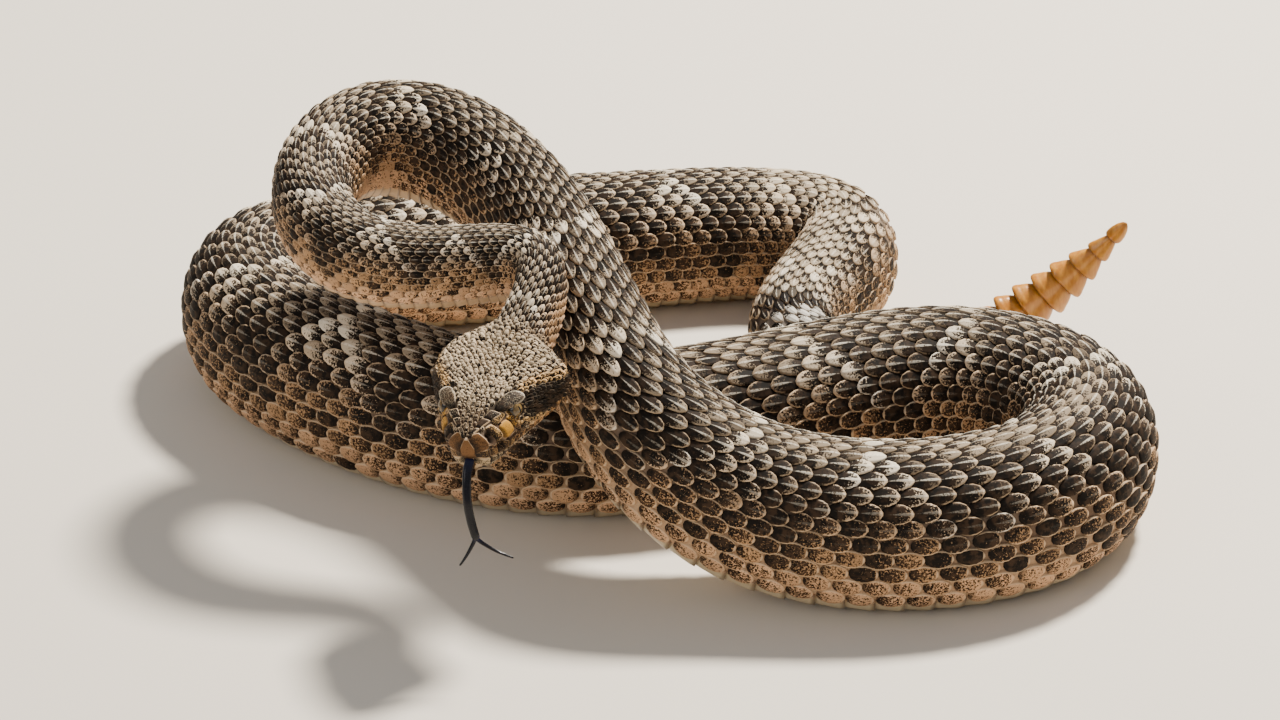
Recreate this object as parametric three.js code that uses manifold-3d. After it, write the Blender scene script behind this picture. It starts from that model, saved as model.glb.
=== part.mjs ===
import * as THREE from 'three';
import { mergeVertices } from 'three/addons/utils/BufferGeometryUtils.js';
import Module from 'manifold-3d';

// A western diamondback rattlesnake, coiled on the ground with its front third raised,
// the head held forward over the coil, the tongue out and the rattle up.
// Millimetres, +Z up, the floor at z = 0, the head towards -Y.

const wasm = await Module();
wasm.setup();

// The body's route, from a little in front of the snout to the tip of the rattle.
// Each row steers a smooth spline: x, y, height, and the half width and half height there.
const ROUTE = [
  [-62, -229, 64, 10.5, 10.5],
  [-56, -205, 70, 10.5, 10.5],
  [-50, -184, 75, 10.5, 10.5],
  [-44.5, -165, 79.5, 10, 10.5],
  [-37, -150.5, 87, 9.5, 10.5],
  [-30.5, -139, 97, 8.5, 11.5],
  [-31, -126.5, 101, 8.5, 12.5],
  [-44, -119, 99, 9.5, 13],
  [-65.5, -118.5, 95.5, 10.5, 13.5],
  [-89, -113, 95, 12, 14.5],
  [-105.5, -92, 98.5, 13, 15.5],
  [-106.5, -61, 103.5, 13.5, 17],
  [-86.5, -40, 106.5, 14, 19.5],
  [-53.5, -45, 100.5, 15, 21],
  [-28.5, -77, 86.5, 16, 21],
  [-15.5, -121, 73.5, 18, 22.5],
  [1, -150, 51, 20.5, 25],
  [37, -158.5, 28, 22.5, 27],
  [87, -163, 25, 23, 27.5],
  [130.5, -148, 26, 23, 27.5],
  [149.5, -109.5, 26, 23, 27.5],
  [134, -78, 26, 23, 27.5],
  [98, -65, 26, 23, 27.5],
  [52.5, -81, 26, 23, 27],
  [6.5, -100.5, 25, 22.5, 26.5],
  [-39.5, -100, 25.5, 23, 27],
  [-86, -76, 26, 23, 27.5],
  [-125, -38, 25.5, 23, 27],
  [-136, 1.5, 25, 22.5, 26.5],
  [-110, 25.5, 24.5, 22, 26],
  [-60, 34, 23.5, 21, 25],
  [-10.5, 43, 22.5, 20, 24],
  [32, 53, 21.5, 19.5, 23],
  [65, 52.5, 20.5, 19, 22],
  [74, 35.5, 19.5, 18, 21],
  [57, 8.5, 17.5, 17, 19],
  [46, -17.5, 14.5, 14.5, 16],
  [67, -26.5, 11, 11.5, 12.5],
  [104.5, -18, 12, 8.5, 9.5],
  [137, -13, 31.5, 5.5, 7.5],
  [162.5, -16, 59, 3, 3.5],
  [180, -27.5, 97, 1, 1],
];
const CENTRE = [6.83, -67.36];        // middle of the footprint, in the route's own measure
const HEAD_LENGTH = 48;
const HEAD_ROLL = THREE.MathUtils.degToRad(6);
const ROUTE_LEAD = 11.2;          // the route starts this far in front of the snout
const GAP = 0.34;                 // between pieces that touch

// The head from the snout back: distance, half width, height over and under its axis,
// squareness of the section, and how much the crown is narrower than the cheeks.
const HEAD_FORM = [
  [0, 3.8, 3.0, 7.2, 2.3, 0.3],
  [0.9, 5.8, 4.4, 8.9, 2.5, 0.45],
  [2.5, 7.4, 5.3, 9.8, 2.8, 0.5],
  [6, 9.3, 6.5, 10.2, 3.0, 0.46],
  [10, 11.2, 7.6, 10.4, 3.0, 0.38],
  [15.5, 13.5, 8.8, 10.7, 3.0, 0.26],
  [22, 17.0, 9.6, 11.2, 2.8, 0.18],
  [29, 20.6, 10.4, 11.4, 2.6, 0.14],
  [34, 22.0, 10.8, 11.3, 2.5, 0.12],
  [39, 21.2, 11.0, 11.2, 2.4, 0.1],
  [43, 17.6, 11.0, 10.9, 2.3, 0.09],
  [46, 13.0, 10.9, 10.7, 2.2, 0.08],
];
const BODY_POWER = 2.2;
const BODY_TAPER = 0.08;

// The line of the mouth: distance from the snout and height on the head.
const MOUTH = [[-6, -3.5], [1, -3.7], [8, -5.6], [16, -6.6], [24, -6.5], [32, -5.6], [40, -5]];
const MOUTH_CORNER = 36.5;

// Raised plates of one side, each from four corners of distance and angle: brow, ridge, nostril.
const HEAD_PLATES = [
  [[[11.4, 42], [11.6, 60], [19.6, 66], [20.8, 44]], 2.2],
  [[[1.8, 26], [2.2, 48], [11.2, 58], [11.2, 36]], 0.8],
  [[[1.4, 40], [1.4, 84], [5.8, 88], [5.8, 44]], 0.4],
];
const LIP_START = 2.4;
const LIP_END = 35.6;
const LIP_COUNT = 8;
const LIP_SEAM = 0.15;
const LIP_HEIGHT = 2.7;

const EYE = { back: 15.8, out: 11.4, up: 4.0, radius: 2.6 };
const NOSTRIL = { back: 3.6, out: 7.5, up: 2.4, radius: 0.9 };
const HEAT_PIT = { back: 7.6, out: 10.0, up: -1.9, radius: 1.15 };

// Where the long body is parted, measured along it from the back of the head.
const PARTINGS = [0, 78, 150, 226, 306, 392, 482, 570, 656, 746, 836, 926, 1014, 1100];
const SCUTE_PITCH = 10.6;
const SCUTE_STEP = 0.55;
const SCUTE_EDGE = 130;           // degrees from the spine where the belly plates end
const BODY_SIDES = 18;
const HEAD_SIDES = 26;
const HEAD_STOPS = [0, 0.7, 1.8, 3.5, 6, 9, 12, 15, 18, 21, 24, 27, 30, 33, 36, 39, 41.5, 44, 46];

// The rattle: half height of each segment, from the tail to the button.
const RATTLE = [8.8, 9.2, 9.0, 8.4, 7.6, 6.3, 4.4, 3.0];
const RATTLE_PITCH = 7.8;
const BUTTON_LENGTH = 8.4;
const RATTLE_FLATNESS = 0.64;     // its width over its height

// The tongue: points from inside the mouth to the fork, then each tip, from the mouth's edge.
const TONGUE_STEM = [[1.4, 4.6, 1.2], [0, 0, 0], [-0.9, -3.6, -3.4], [-0.9, -6.2, -10.5], [0.2, -7.6, -17.5],
  [2.0, -8.8, -24]];
const TONGUE_TIPS = [[-3.4, -11.2, -31.6], [13.6, -11.6, -28.6]];
const TONGUE_HALF_WIDTH = 1.45;
const TONGUE_HALF_THICKNESS = 0.95;

const PAINT = {
  skin: [0x7b6a55, 0.62],
  head: [0x8b7b68, 0.62],
  jaw: [0xb09772, 0.58],
  tail: [0x8d8880, 0.6],
  eye: [0x6d5f49, 0.12],
  tongue: [0x17151d, 0.35],
  rattle: [0xb98a3a, 0.5],
};

const model = new THREE.Group();

function addPiece(name, geometry, paint) {
  const [color, roughness] = PAINT[paint];
  const mesh = new THREE.Mesh(geometry, new THREE.MeshStandardMaterial({ color, roughness, metalness: 0 }));
  mesh.name = name;
  model.add(mesh);
}

// The spline's five values at u, which counts rows of the route.
const SPANS = ROUTE.length - 3;

function steered(u) {
  const row = Math.min(Math.floor(u), SPANS - 1);
  const f = u - row;
  const pull = [(1 - f) ** 3, 3 * f ** 3 - 6 * f ** 2 + 4, -3 * f ** 3 + 3 * f ** 2 + 3 * f + 1, f ** 3];
  const mix = (column) => pull.reduce((sum, w, i) => sum + (w / 6) * ROUTE[row + i][column], 0);
  return [mix(0) - CENTRE[0], mix(1) - CENTRE[1], mix(2), mix(3), mix(4)];
}

const STEPS = SPANS * 30;
const walked = [0];
for (let i = 1; i <= STEPS; i++) {
  const a = steered(((i - 1) / STEPS) * SPANS);
  const b = steered((i / STEPS) * SPANS);
  walked.push(walked[i - 1] + Math.hypot(b[0] - a[0], b[1] - a[1], b[2] - a[2]));
}
const FULL_LENGTH = walked[STEPS] - ROUTE_LEAD - HEAD_LENGTH;

// The frame at s millimetres behind the head: s runs from -48 at the snout to the rattle's tip.
function station(s) {
  const goal = Math.min(Math.max(s + HEAD_LENGTH + ROUTE_LEAD, 0), walked[STEPS]);
  let low = 0;
  let high = STEPS;
  while (high - low > 1) {
    const mid = (low + high) >> 1;
    if (walked[mid] <= goal) low = mid;
    else high = mid;
  }
  const u = ((low + (goal - walked[low]) / (walked[high] - walked[low])) / STEPS) * SPANS;
  const here = steered(u);
  const before = steered(Math.max(u - 0.02, 0));
  const after = steered(Math.min(u + 0.02, SPANS - 1e-6));
  const along = new THREE.Vector3(...after).sub(new THREE.Vector3(...before)).normalize();
  const side = new THREE.Vector3(along.y, -along.x, 0).normalize();
  const roll = HEAD_ROLL * (1 - THREE.MathUtils.smoothstep(s, 0, 40));
  side.applyAxisAngle(along, -roll);
  const up = new THREE.Vector3().crossVectors(side, along);
  const centre = new THREE.Vector3(...here);
  return { centre, along, side, up, wide: here[3], high: here[4] };
}

// A smooth curve through the rows of a table, read at x: one value for each further column.
function readTable(table, x) {
  let i = 0;
  while (i < table.length - 2 && table[i + 1][0] < x) i++;
  const [a, b] = [table[i], table[i + 1]];
  const [p, q] = [table[Math.max(i - 1, 0)], table[Math.min(i + 2, table.length - 1)]];
  const span = b[0] - a[0];
  const f = Math.min(Math.max((x - a[0]) / span, 0), 1);
  return a.slice(1).map((start, c) => {
    const end = b[c + 1];
    const leave = ((end - p[c + 1]) / (b[0] - p[0])) * span;
    const arrive = ((q[c + 1] - start) / (q[0] - a[0])) * span;
    const f2 = f * f;
    const f3 = f2 * f;
    const held = start * (2 * f3 - 3 * f2 + 1) + end * (3 * f2 - 2 * f3);
    return held + leave * (f3 - 2 * f2 + f) + arrive * (f3 - f2);
  });
}

const joint = station(0);
const HEAD_TABLE = [...HEAD_FORM, [HEAD_LENGTH, joint.wide, joint.high, joint.high, BODY_POWER, BODY_TAPER]];

// The section at s: half width, top, bottom, squareness and taper.
function section(s, at) {
  if (s >= 0) return [at.wide, at.high, at.high, BODY_POWER, BODY_TAPER];
  return readTable(HEAD_TABLE, s + HEAD_LENGTH);
}

// A point of the section in its own plane, at an angle in degrees from the spine.
function sectionPoint([wide, top, bottom, power, taper], degrees, lift) {
  const angle = THREE.MathUtils.degToRad(degrees);
  const [sin, cos] = [Math.sin(angle), Math.cos(angle)];
  const tall = cos > 0 ? top : bottom;
  const reach = (Math.abs(sin / wide) ** power + Math.abs(cos / tall) ** power) ** (-1 / power) + lift;
  const crown = Math.max(cos, 0) * reach / top;
  return [sin * reach * (1 - taper * crown * crown), cos * reach];
}

// A point of the skin, with nothing below the floor.
function skin(s, degrees, lift = 0) {
  const at = station(s);
  const [out, up] = sectionPoint(section(s, at), degrees, lift);
  const point = at.centre.clone().addScaledVector(at.side, out).addScaledVector(at.up, up);
  point.z = Math.max(point.z, 0);
  return point;
}

// The angle at which the head's skin has a height over its axis.
function angleAt(back, up) {
  const form = section(back - HEAD_LENGTH, null);
  let low = 0;
  let high = 180;
  for (let i = 0; i < 30; i++) {
    const mid = (low + high) / 2;
    if (sectionPoint(form, mid, 0)[1] > up) low = mid;
    else high = mid;
  }
  return low;
}

// A closed skin over rings of equal count, with a fan on each end.
function loft(rings) {
  const count = rings[0].length;
  const points = rings.flat();
  const faces = [];
  for (let i = 0; i + 1 < rings.length; i++) {
    for (let j = 0; j < count; j++) {
      const [a, b] = [i * count + j, i * count + ((j + 1) % count)];
      faces.push(a, a + count, b, b, a + count, b + count);
    }
  }
  const ends = [rings[0], rings[rings.length - 1]];
  ends.forEach((ring, which) => {
    const hub = points.length;
    points.push(ring.reduce((sum, p) => sum.add(p), new THREE.Vector3()).divideScalar(count));
    const first = which * (rings.length - 1) * count;
    for (let j = 0; j < count; j++) {
      const [a, b] = [first + j, first + ((j + 1) % count)];
      if (which) faces.push(hub, b, a);
      else faces.push(hub, a, b);
    }
  });
  return closed(points, faces);
}

// A geometry from points and faces, turned so that its faces point out.
function closed(points, faces) {
  let volume = 0;
  for (let i = 0; i < faces.length; i += 3) {
    const [a, b, c] = [points[faces[i]], points[faces[i + 1]], points[faces[i + 2]]];
    volume += a.dot(new THREE.Vector3().crossVectors(b, c));
  }
  const turned = volume < 0 ? faces.slice().reverse() : faces;
  const geometry = new THREE.BufferGeometry();
  geometry.setAttribute('position', new THREE.Float32BufferAttribute(points.flatMap((p) => p.toArray()), 3));
  geometry.setIndex(turned);
  return geometry;
}

function toSolid(geometry) {
  const bare = geometry.clone();
  bare.deleteAttribute('normal');
  bare.deleteAttribute('uv');
  const merged = mergeVertices(bare, 1e-4);
  const vertProperties = new Float32Array(merged.attributes.position.array);
  const triVerts = new Uint32Array(merged.index.array);
  return new wasm.Manifold(new wasm.Mesh({ numProp: 3, vertProperties, triVerts }));
}

// The largest closed surface of a solid, as a geometry.
function toGeometry(solid) {
  const largest = solid.decompose().sort((a, b) => b.volume() - a.volume())[0];
  const mesh = largest.getMesh();
  const geometry = new THREE.BufferGeometry();
  geometry.setAttribute('position', new THREE.Float32BufferAttribute(mesh.vertProperties, 3));
  geometry.setIndex(Array.from(mesh.triVerts));
  return geometry;
}

const everyAngle = (sides) => Array.from({ length: sides }, (_, j) => (j * 360) / sides);

// A length of body: belly plates step outwards towards their free back edges.
function bodyLength(from, to) {
  const plates = Math.round((to - from) / SCUTE_PITCH);
  const pitch = (to - from) / plates;
  const rings = [];
  for (let i = 0; i < plates; i++) {
    const front = from + i * pitch;
    for (const [s, step] of [[front, 0], [front + pitch - GAP, SCUTE_STEP]]) {
      const lift = (degrees) => (Math.abs(degrees - 180) < 180 - SCUTE_EDGE ? step : 0);
      rings.push(everyAngle(BODY_SIDES).map((degrees) => skin(s, degrees, lift(degrees))));
    }
  }
  return loft(rings);
}

const atHead = (back, out, up) => {
  const at = station(back - HEAD_LENGTH);
  return at.centre.clone().addScaledVector(at.side, out).addScaledVector(at.up, up);
};

// A raised plate over a patch of the head, from four corners of distance and angle.
function plate(corners, lift, cells = 3) {
  const points = [];
  const corner = (i, u, v) => corners[0][i] * (1 - u) * (1 - v) + corners[1][i] * (1 - u) * v
    + corners[2][i] * u * v + corners[3][i] * u * (1 - v);
  for (const upper of [1, 0]) {
    for (let i = 0; i <= cells; i++) {
      for (let j = 0; j <= cells; j++) {
        const [u, v] = [i / cells, j / cells];
        const rim = i === 0 || j === 0 || i === cells || j === cells;
        const raise = upper ? lift * (rim ? 0.6 : 1) : -0.9;
        points.push(skin(corner(0, u, v) - HEAD_LENGTH, corner(1, u, v), raise));
      }
    }
  }
  const wide = cells + 1;
  const under = wide * wide;
  const faces = [];
  for (let i = 0; i < cells; i++) {
    for (let j = 0; j < cells; j++) {
      const a = i * wide + j;
      faces.push(a, a + 1, a + wide, a + wide, a + 1, a + wide + 1);
      faces.push(under + a, under + a + wide, under + a + 1);
      faces.push(under + a + wide, under + a + wide + 1, under + a + 1);
    }
  }
  const wall = (a, b) => faces.push(a, under + b, b, a, under + a, under + b);
  for (let k = 0; k < cells; k++) {
    wall(k, k + 1);
    wall((k + 1) * wide, k * wide);
    wall(cells * wide + k + 1, cells * wide + k);
    wall(k * wide + cells, (k + 1) * wide + cells);
  }
  return toSolid(closed(points, faces));
}

// Everything below the mouth's line, as far back as its corner.
function belowMouth(drop, back) {
  const rings = [];
  for (let x = -5; x <= back + 0.01; x += (back + 5) / 14) {
    const level = readTable(MOUTH, x)[0] - drop;
    const corners = [[30, level], [30, -30], [-30, -30], [-30, level]];
    rings.push(corners.map(([out, up]) => atHead(x, out, up)));
  }
  return toSolid(loft(rings));
}

function headLoft(inset) {
  const rings = [...HEAD_STOPS, HEAD_LENGTH - GAP].map((x) => {
    const shrink = -inset * (1 - THREE.MathUtils.smoothstep(x, 28, 37));
    return everyAngle(HEAD_SIDES).map((degrees) => skin(x - HEAD_LENGTH, degrees, shrink));
  });
  return toSolid(loft(rings));
}

function ball(place, side, radius, detail = 16) {
  const geometry = new THREE.SphereGeometry(radius, detail, detail / 2);
  const spot = atHead(place.back, place.out * side, place.up);
  geometry.translate(spot.x, spot.y, spot.z);
  return geometry;
}

// A tapering tube through points, flattened in its second direction.
function strand(points, halfWidths, flatness, sides, steps) {
  const curve = new THREE.CatmullRomCurve3(points);
  const rings = [];
  for (let i = 0; i <= steps; i++) {
    const f = i / steps;
    const along = curve.getTangent(f);
    const out = new THREE.Vector3(1, 0, 0).addScaledVector(along, -along.x).normalize();
    const up = new THREE.Vector3().crossVectors(along, out);
    const half = halfWidths[0] * (1 - f) + halfWidths[1] * f;
    const centre = curve.getPoint(f);
    rings.push(everyAngle(sides).map((degrees) => {
      const angle = THREE.MathUtils.degToRad(degrees);
      return centre.clone().addScaledVector(out, half * Math.cos(angle))
        .addScaledVector(up, half * flatness * Math.sin(angle));
    }));
  }
  return toSolid(loft(rings));
}

function tongueSolid(grow) {
  const lip = atHead(0, 0, -4.6);
  const flatness = (TONGUE_HALF_THICKNESS + grow) / (TONGUE_HALF_WIDTH + grow);
  const stem = TONGUE_STEM.map(([x, y, z]) => lip.clone().add(new THREE.Vector3(x, y, z)));
  const width = TONGUE_HALF_WIDTH + grow;
  let solid = strand(stem, [width, width * 0.9], flatness, 8, 12);
  for (const tip of TONGUE_TIPS) {
    const end = lip.clone().add(new THREE.Vector3(...tip));
    const fork = stem[stem.length - 1].clone();
    const root = stem[stem.length - 2].clone().lerp(fork, 0.75);
    root.x += Math.sign(tip[0] - 2) * 0.5;
    fork.x += Math.sign(tip[0] - 2) * 0.8;
    const bow = fork.clone().lerp(end, 0.5);
    bow.z -= 0.6;
    solid = solid.add(strand([root, fork, bow, end], [0.85, 0.35], 0.8, 6, 6));
  }
  return solid;
}

// One segment of the rattle: a lobe that swells behind a narrow neck, grooved along each side.
function rattleSegment(from, length, high, nextHigh, isButton) {
  const profile = isButton
    ? [[0, 0.8], [0.14, 1], [0.42, 0.95], [0.7, 0.74], [0.9, 0.45], [1, 0.2]]
    : [[0, 0.84], [0.1, 0.97], [0.3, 1], [0.55, 0.93], [0.8, 0.82], [1, 0.74]];
  const rings = profile.map(([f, swell]) => {
    const at = station(from + GAP / 2 + f * (length - GAP));
    const half = (high * (1 - f) + nextHigh * f) * swell;
    return everyAngle(16).map((degrees) => {
      const angle = THREE.MathUtils.degToRad(degrees);
      const groove = 1 - 0.14 * Math.exp(-(((degrees % 180) - 90) ** 2) / 400);
      return at.centre.clone().addScaledVector(at.side, Math.sin(angle) * half * RATTLE_FLATNESS * groove)
        .addScaledVector(at.up, Math.cos(angle) * half * groove);
    });
  });
  return loft(rings);
}

// Head and lower jaw, parted along the line of the mouth.
const tongueRoom = tongueSolid(GAP);
let head = headLoft(0).subtract(belowMouth(0, MOUTH_CORNER + GAP));
let jaw = headLoft(0.6).intersect(belowMouth(GAP, MOUTH_CORNER));
const rostral = new THREE.Shape([new THREE.Vector2(0, 4.6), new THREE.Vector2(-3, -2.2),
  new THREE.Vector2(-2.6, -3.4), new THREE.Vector2(2.6, -3.4), new THREE.Vector2(3, -2.2)]);
const snoutPlate = new THREE.ExtrudeGeometry(rostral, { depth: 2.7, bevelEnabled: false });
const snout = station(-HEAD_LENGTH);
const stand = new THREE.Matrix4().makeBasis(snout.side, snout.up, snout.side.clone().cross(snout.up));
snoutPlate.applyMatrix4(stand.setPosition(snout.centre.clone().addScaledVector(snout.along, 2)));
head = head.add(toSolid(snoutPlate));
for (const side of [1, -1]) {
  const turned = (corners) => corners.map(([back, degrees]) => [back, degrees * side]);
  for (const [corners, lift] of HEAD_PLATES) head = head.add(plate(turned(corners), lift));
  const lipPitch = (LIP_END - LIP_START) / LIP_COUNT;
  for (let i = 0; i < LIP_COUNT; i++) {
    const x0 = LIP_START + lipPitch * i + LIP_SEAM;
    const x1 = LIP_START + lipPitch * (i + 1) - LIP_SEAM;
    const rows = [[head, 0.1, LIP_HEIGHT, 0.35], [jaw, -GAP - 0.4, -LIP_HEIGHT - 0.2, -0.3]];
    const [upper, lower] = rows.map(([piece, near, far, lift]) => {
      const edge = (x, up) => [x, angleAt(x, readTable(MOUTH, x)[0] + up)];
      const corners = [edge(x0, far), edge(x0, near), edge(x1, near), edge(x1, far)];
      return piece.add(plate(turned(corners), lift, 1));
    });
    head = upper;
    jaw = lower;
  }
  head = head.subtract(toSolid(ball(EYE, side, EYE.radius + GAP, 14)));
  head = head.subtract(toSolid(ball(NOSTRIL, side, NOSTRIL.radius, 8)));
  head = head.subtract(toSolid(ball(HEAT_PIT, side, HEAT_PIT.radius, 8)));
}
head = head.subtract(belowMouth(0, MOUTH_CORNER + GAP)).subtract(tongueRoom);
jaw = jaw.intersect(belowMouth(GAP, MOUTH_CORNER)).subtract(tongueRoom);
addPiece('head', toGeometry(head), 'head');
addPiece('lower_jaw', toGeometry(jaw), 'jaw');
addPiece('eye_left', toGeometry(toSolid(ball(EYE, 1, EYE.radius, 14))), 'eye');
addPiece('eye_right', toGeometry(toSolid(ball(EYE, -1, EYE.radius, 14))), 'eye');
addPiece('tongue', toGeometry(tongueSolid(0)), 'tongue');

// Neck, body and tail.
const rattleStart = FULL_LENGTH - BUTTON_LENGTH - RATTLE_PITCH * (RATTLE.length - 1);
const cuts = [...PARTINGS, rattleStart];
for (let i = 0; i + 1 < cuts.length; i++) {
  const isTail = i === cuts.length - 2;
  const name = i === 0 ? 'neck' : isTail ? 'tail' : `body_${i}`;
  addPiece(name, bodyLength(cuts[i], cuts[i + 1]), isTail ? 'tail' : 'skin');
}

// Rattle.
RATTLE.forEach((high, i) => {
  const isButton = i === RATTLE.length - 1;
  const length = isButton ? BUTTON_LENGTH : RATTLE_PITCH;
  const next = isButton ? high : RATTLE[i + 1];
  const segment = rattleSegment(rattleStart + i * RATTLE_PITCH, length, high, next, isButton);
  addPiece(`rattle_${i + 1}`, segment, 'rattle');
});

export default model;
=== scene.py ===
"""A life-size western diamondback rattlesnake, coiled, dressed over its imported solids.

The skin is one sheet from the snout to the rattle. Scales, belly plates and head
plates are thin solid pieces laid on it, each placed by its distance s behind the head
and its angle from the spine. Lengths are in millimetres until a mesh is finished.
"""

import math

import bmesh
import bpy
import numpy as np
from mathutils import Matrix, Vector


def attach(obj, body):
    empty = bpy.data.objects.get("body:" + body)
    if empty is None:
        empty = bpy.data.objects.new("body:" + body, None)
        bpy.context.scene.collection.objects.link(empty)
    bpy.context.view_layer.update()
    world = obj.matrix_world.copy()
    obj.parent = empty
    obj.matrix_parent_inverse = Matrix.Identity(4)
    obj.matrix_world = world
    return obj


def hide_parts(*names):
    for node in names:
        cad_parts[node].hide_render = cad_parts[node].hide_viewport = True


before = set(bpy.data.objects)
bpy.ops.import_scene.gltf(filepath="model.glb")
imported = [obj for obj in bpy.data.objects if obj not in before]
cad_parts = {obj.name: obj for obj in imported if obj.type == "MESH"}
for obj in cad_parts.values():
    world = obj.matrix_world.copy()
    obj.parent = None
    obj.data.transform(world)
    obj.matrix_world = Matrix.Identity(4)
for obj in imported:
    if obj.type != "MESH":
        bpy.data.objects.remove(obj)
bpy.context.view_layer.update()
MM = 0.001
draw = np.random.default_rng(41)

# The route of the body from the snout to the tip, as the pull of a smooth curve:
# x, y, z, half width, half height.
ROUTE = np.array([
    (-62, -229, 64, 10.5, 10.5), (-56, -205, 70, 10.5, 10.5), (-50, -184, 75, 10.5, 10.5),
    (-44.5, -165, 79.5, 10, 10.5), (-37, -150.5, 87, 9.5, 10.5), (-30.5, -139, 97, 8.5, 11.5),
    (-31, -126.5, 101, 8.5, 12.5), (-44, -119, 99, 9.5, 13), (-65.5, -118.5, 95.5, 10.5, 13.5),
    (-89, -113, 95, 12, 14.5), (-105.5, -92, 98.5, 13, 15.5), (-106.5, -61, 103.5, 13.5, 17),
    (-86.5, -40, 106.5, 14, 19.5), (-53.5, -45, 100.5, 15, 21), (-28.5, -77, 86.5, 16, 21),
    (-15.5, -121, 73.5, 18, 22.5), (1, -150, 51, 20.5, 25), (37, -158.5, 28, 22.5, 27),
    (87, -163, 25, 23, 27.5), (130.5, -148, 26, 23, 27.5), (149.5, -109.5, 26, 23, 27.5),
    (134, -78, 26, 23, 27.5), (98, -65, 26, 23, 27.5), (52.5, -81, 26, 23, 27),
    (6.5, -100.5, 25, 22.5, 26.5), (-39.5, -100, 25.5, 23, 27), (-86, -76, 26, 23, 27.5),
    (-125, -38, 25.5, 23, 27), (-136, 1.5, 25, 22.5, 26.5), (-110, 25.5, 24.5, 22, 26),
    (-60, 34, 23.5, 21, 25), (-10.5, 43, 22.5, 20, 24), (32, 53, 21.5, 19.5, 23),
    (65, 52.5, 20.5, 19, 22), (74, 35.5, 19.5, 18, 21), (57, 8.5, 17.5, 17, 19),
    (46, -17.5, 14.5, 14.5, 16), (67, -26.5, 11, 11.5, 12.5), (104.5, -18, 12, 8.5, 9.5),
    (137, -13, 31.5, 5.5, 7.5), (162.5, -16, 59, 3, 3.5), (180, -27.5, 97, 1, 1)], float)
CENTRE = np.array([6.83, -67.36])
HEAD_LENGTH = 48.0
HEAD_ROLL = math.radians(6)
ROLL_LEVELS_BY = 40
SNOUT_CAP = 0.5
SNOUT_MIDDLE = -1.6
SKIN_DEPTH = 0.8
ROUTE_LEAD = 11.2
BODY_POWER = 2.2
BODY_TAPER = 0.08
BUTTON_LENGTH = 8.4
RATTLE_PITCH = 7.8
RATTLE = [8.8, 9.2, 9.0, 8.4, 7.6, 6.3, 4.4, 3.0]
RATTLE_FLATNESS = 0.64

# The head from the snout back: distance, half width, height over and under its axis,
# squareness of the section, and how much the crown is narrower than the cheeks.
HEAD_FORM = [
    (0, 3.8, 3.0, 7.2, 2.3, 0.3), (0.9, 5.8, 4.4, 8.9, 2.5, 0.45), (2.5, 7.4, 5.3, 9.8, 2.8, 0.5),
    (6, 9.3, 6.5, 10.2, 3.0, 0.46), (10, 11.2, 7.6, 10.4, 3.0, 0.38), (15.5, 13.5, 8.8, 10.7, 3.0, 0.26),
    (22, 17.0, 9.6, 11.2, 2.8, 0.18), (29, 20.6, 10.4, 11.4, 2.6, 0.14), (34, 22.0, 10.8, 11.3, 2.5, 0.12),
    (39, 21.2, 11.0, 11.2, 2.4, 0.1), (43, 17.6, 11.0, 10.9, 2.3, 0.09), (46, 13.0, 10.9, 10.7, 2.2, 0.08)]
MOUTH = [(-6, -3.5), (1, -3.7), (8, -5.6), (16, -6.6), (24, -6.5), (32, -5.6), (40, -5)]
MOUTH_CORNER = 36.5
EYE = dict(back=15.8, out=11.1, up=3.9, radius=2.6)
NOSTRILS = (dict(back=3.9, up=3.4, radius=1.1, depth=1.8), dict(back=3.3, up=1.9, radius=1.1, depth=1.8))
HEAT_PITS = (dict(back=5.2, up=-1.4, radius=1.1, depth=2.0), dict(back=6.6, up=-2.1, radius=1.25, depth=2.2))


# ---- The shape of the body ----

SPANS = len(ROUTE) - 3
SAMPLES = 30
LOOK_AHEAD = 0.02


def steered(u):
    """Position and half sizes at u, which counts rows of the route."""
    row = np.minimum(np.floor(u).astype(int), SPANS - 1)
    f = u - row
    pull = ((1 - f) ** 3, 3 * f ** 3 - 6 * f ** 2 + 4, -3 * f ** 3 + 3 * f ** 2 + 3 * f + 1, f ** 3)
    out = (np.stack(pull, -1)[..., None] / 6 * ROUTE[row[..., None] + np.arange(4)]).sum(-2)
    out[..., :2] -= CENTRE
    return out


def unit(vectors):
    return vectors / np.linalg.norm(vectors, axis=-1, keepdims=True)


def run_length(points):
    """The distance walked to each of a row of points."""
    return np.concatenate([[0], np.cumsum(np.linalg.norm(np.diff(points, axis=0), axis=1))])


knots = np.linspace(0, SPANS, SPANS * SAMPLES + 1)
walked = run_length(steered(knots)[:, :3])
RATTLE_START = walked[-1] - ROUTE_LEAD - HEAD_LENGTH - BUTTON_LENGTH - RATTLE_PITCH * (len(RATTLE) - 1)


def rising(x, a, b):
    """Rises smoothly from 0 at a to 1 at b."""
    f = np.clip((np.asarray(x, float) - a) / (b - a), 0, 1)
    return f * f * (3 - 2 * f)


def falling(x, a, b):
    """Falls smoothly from 1 at a to 0 at b."""
    return 1 - rising(x, a, b)


def station(s):
    """Centre, directions along, to the side and up, and half sizes at s."""
    u = np.interp(s + HEAD_LENGTH + ROUTE_LEAD, walked, knots)
    here = steered(u)
    after = steered(np.minimum(u + LOOK_AHEAD, SPANS - 1e-6))
    along = unit(after[..., :3] - steered(np.maximum(u - LOOK_AHEAD, 0))[..., :3])
    side = unit(np.stack([along[..., 1], -along[..., 0], np.zeros_like(u)], -1))
    roll = (-HEAD_ROLL * falling(s, 0, ROLL_LEVELS_BY))[..., None]
    side = side * np.cos(roll) + np.cross(along, side) * np.sin(roll)
    return here[..., :3], along, side, np.cross(side, along), here[..., 3], here[..., 4]


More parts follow.
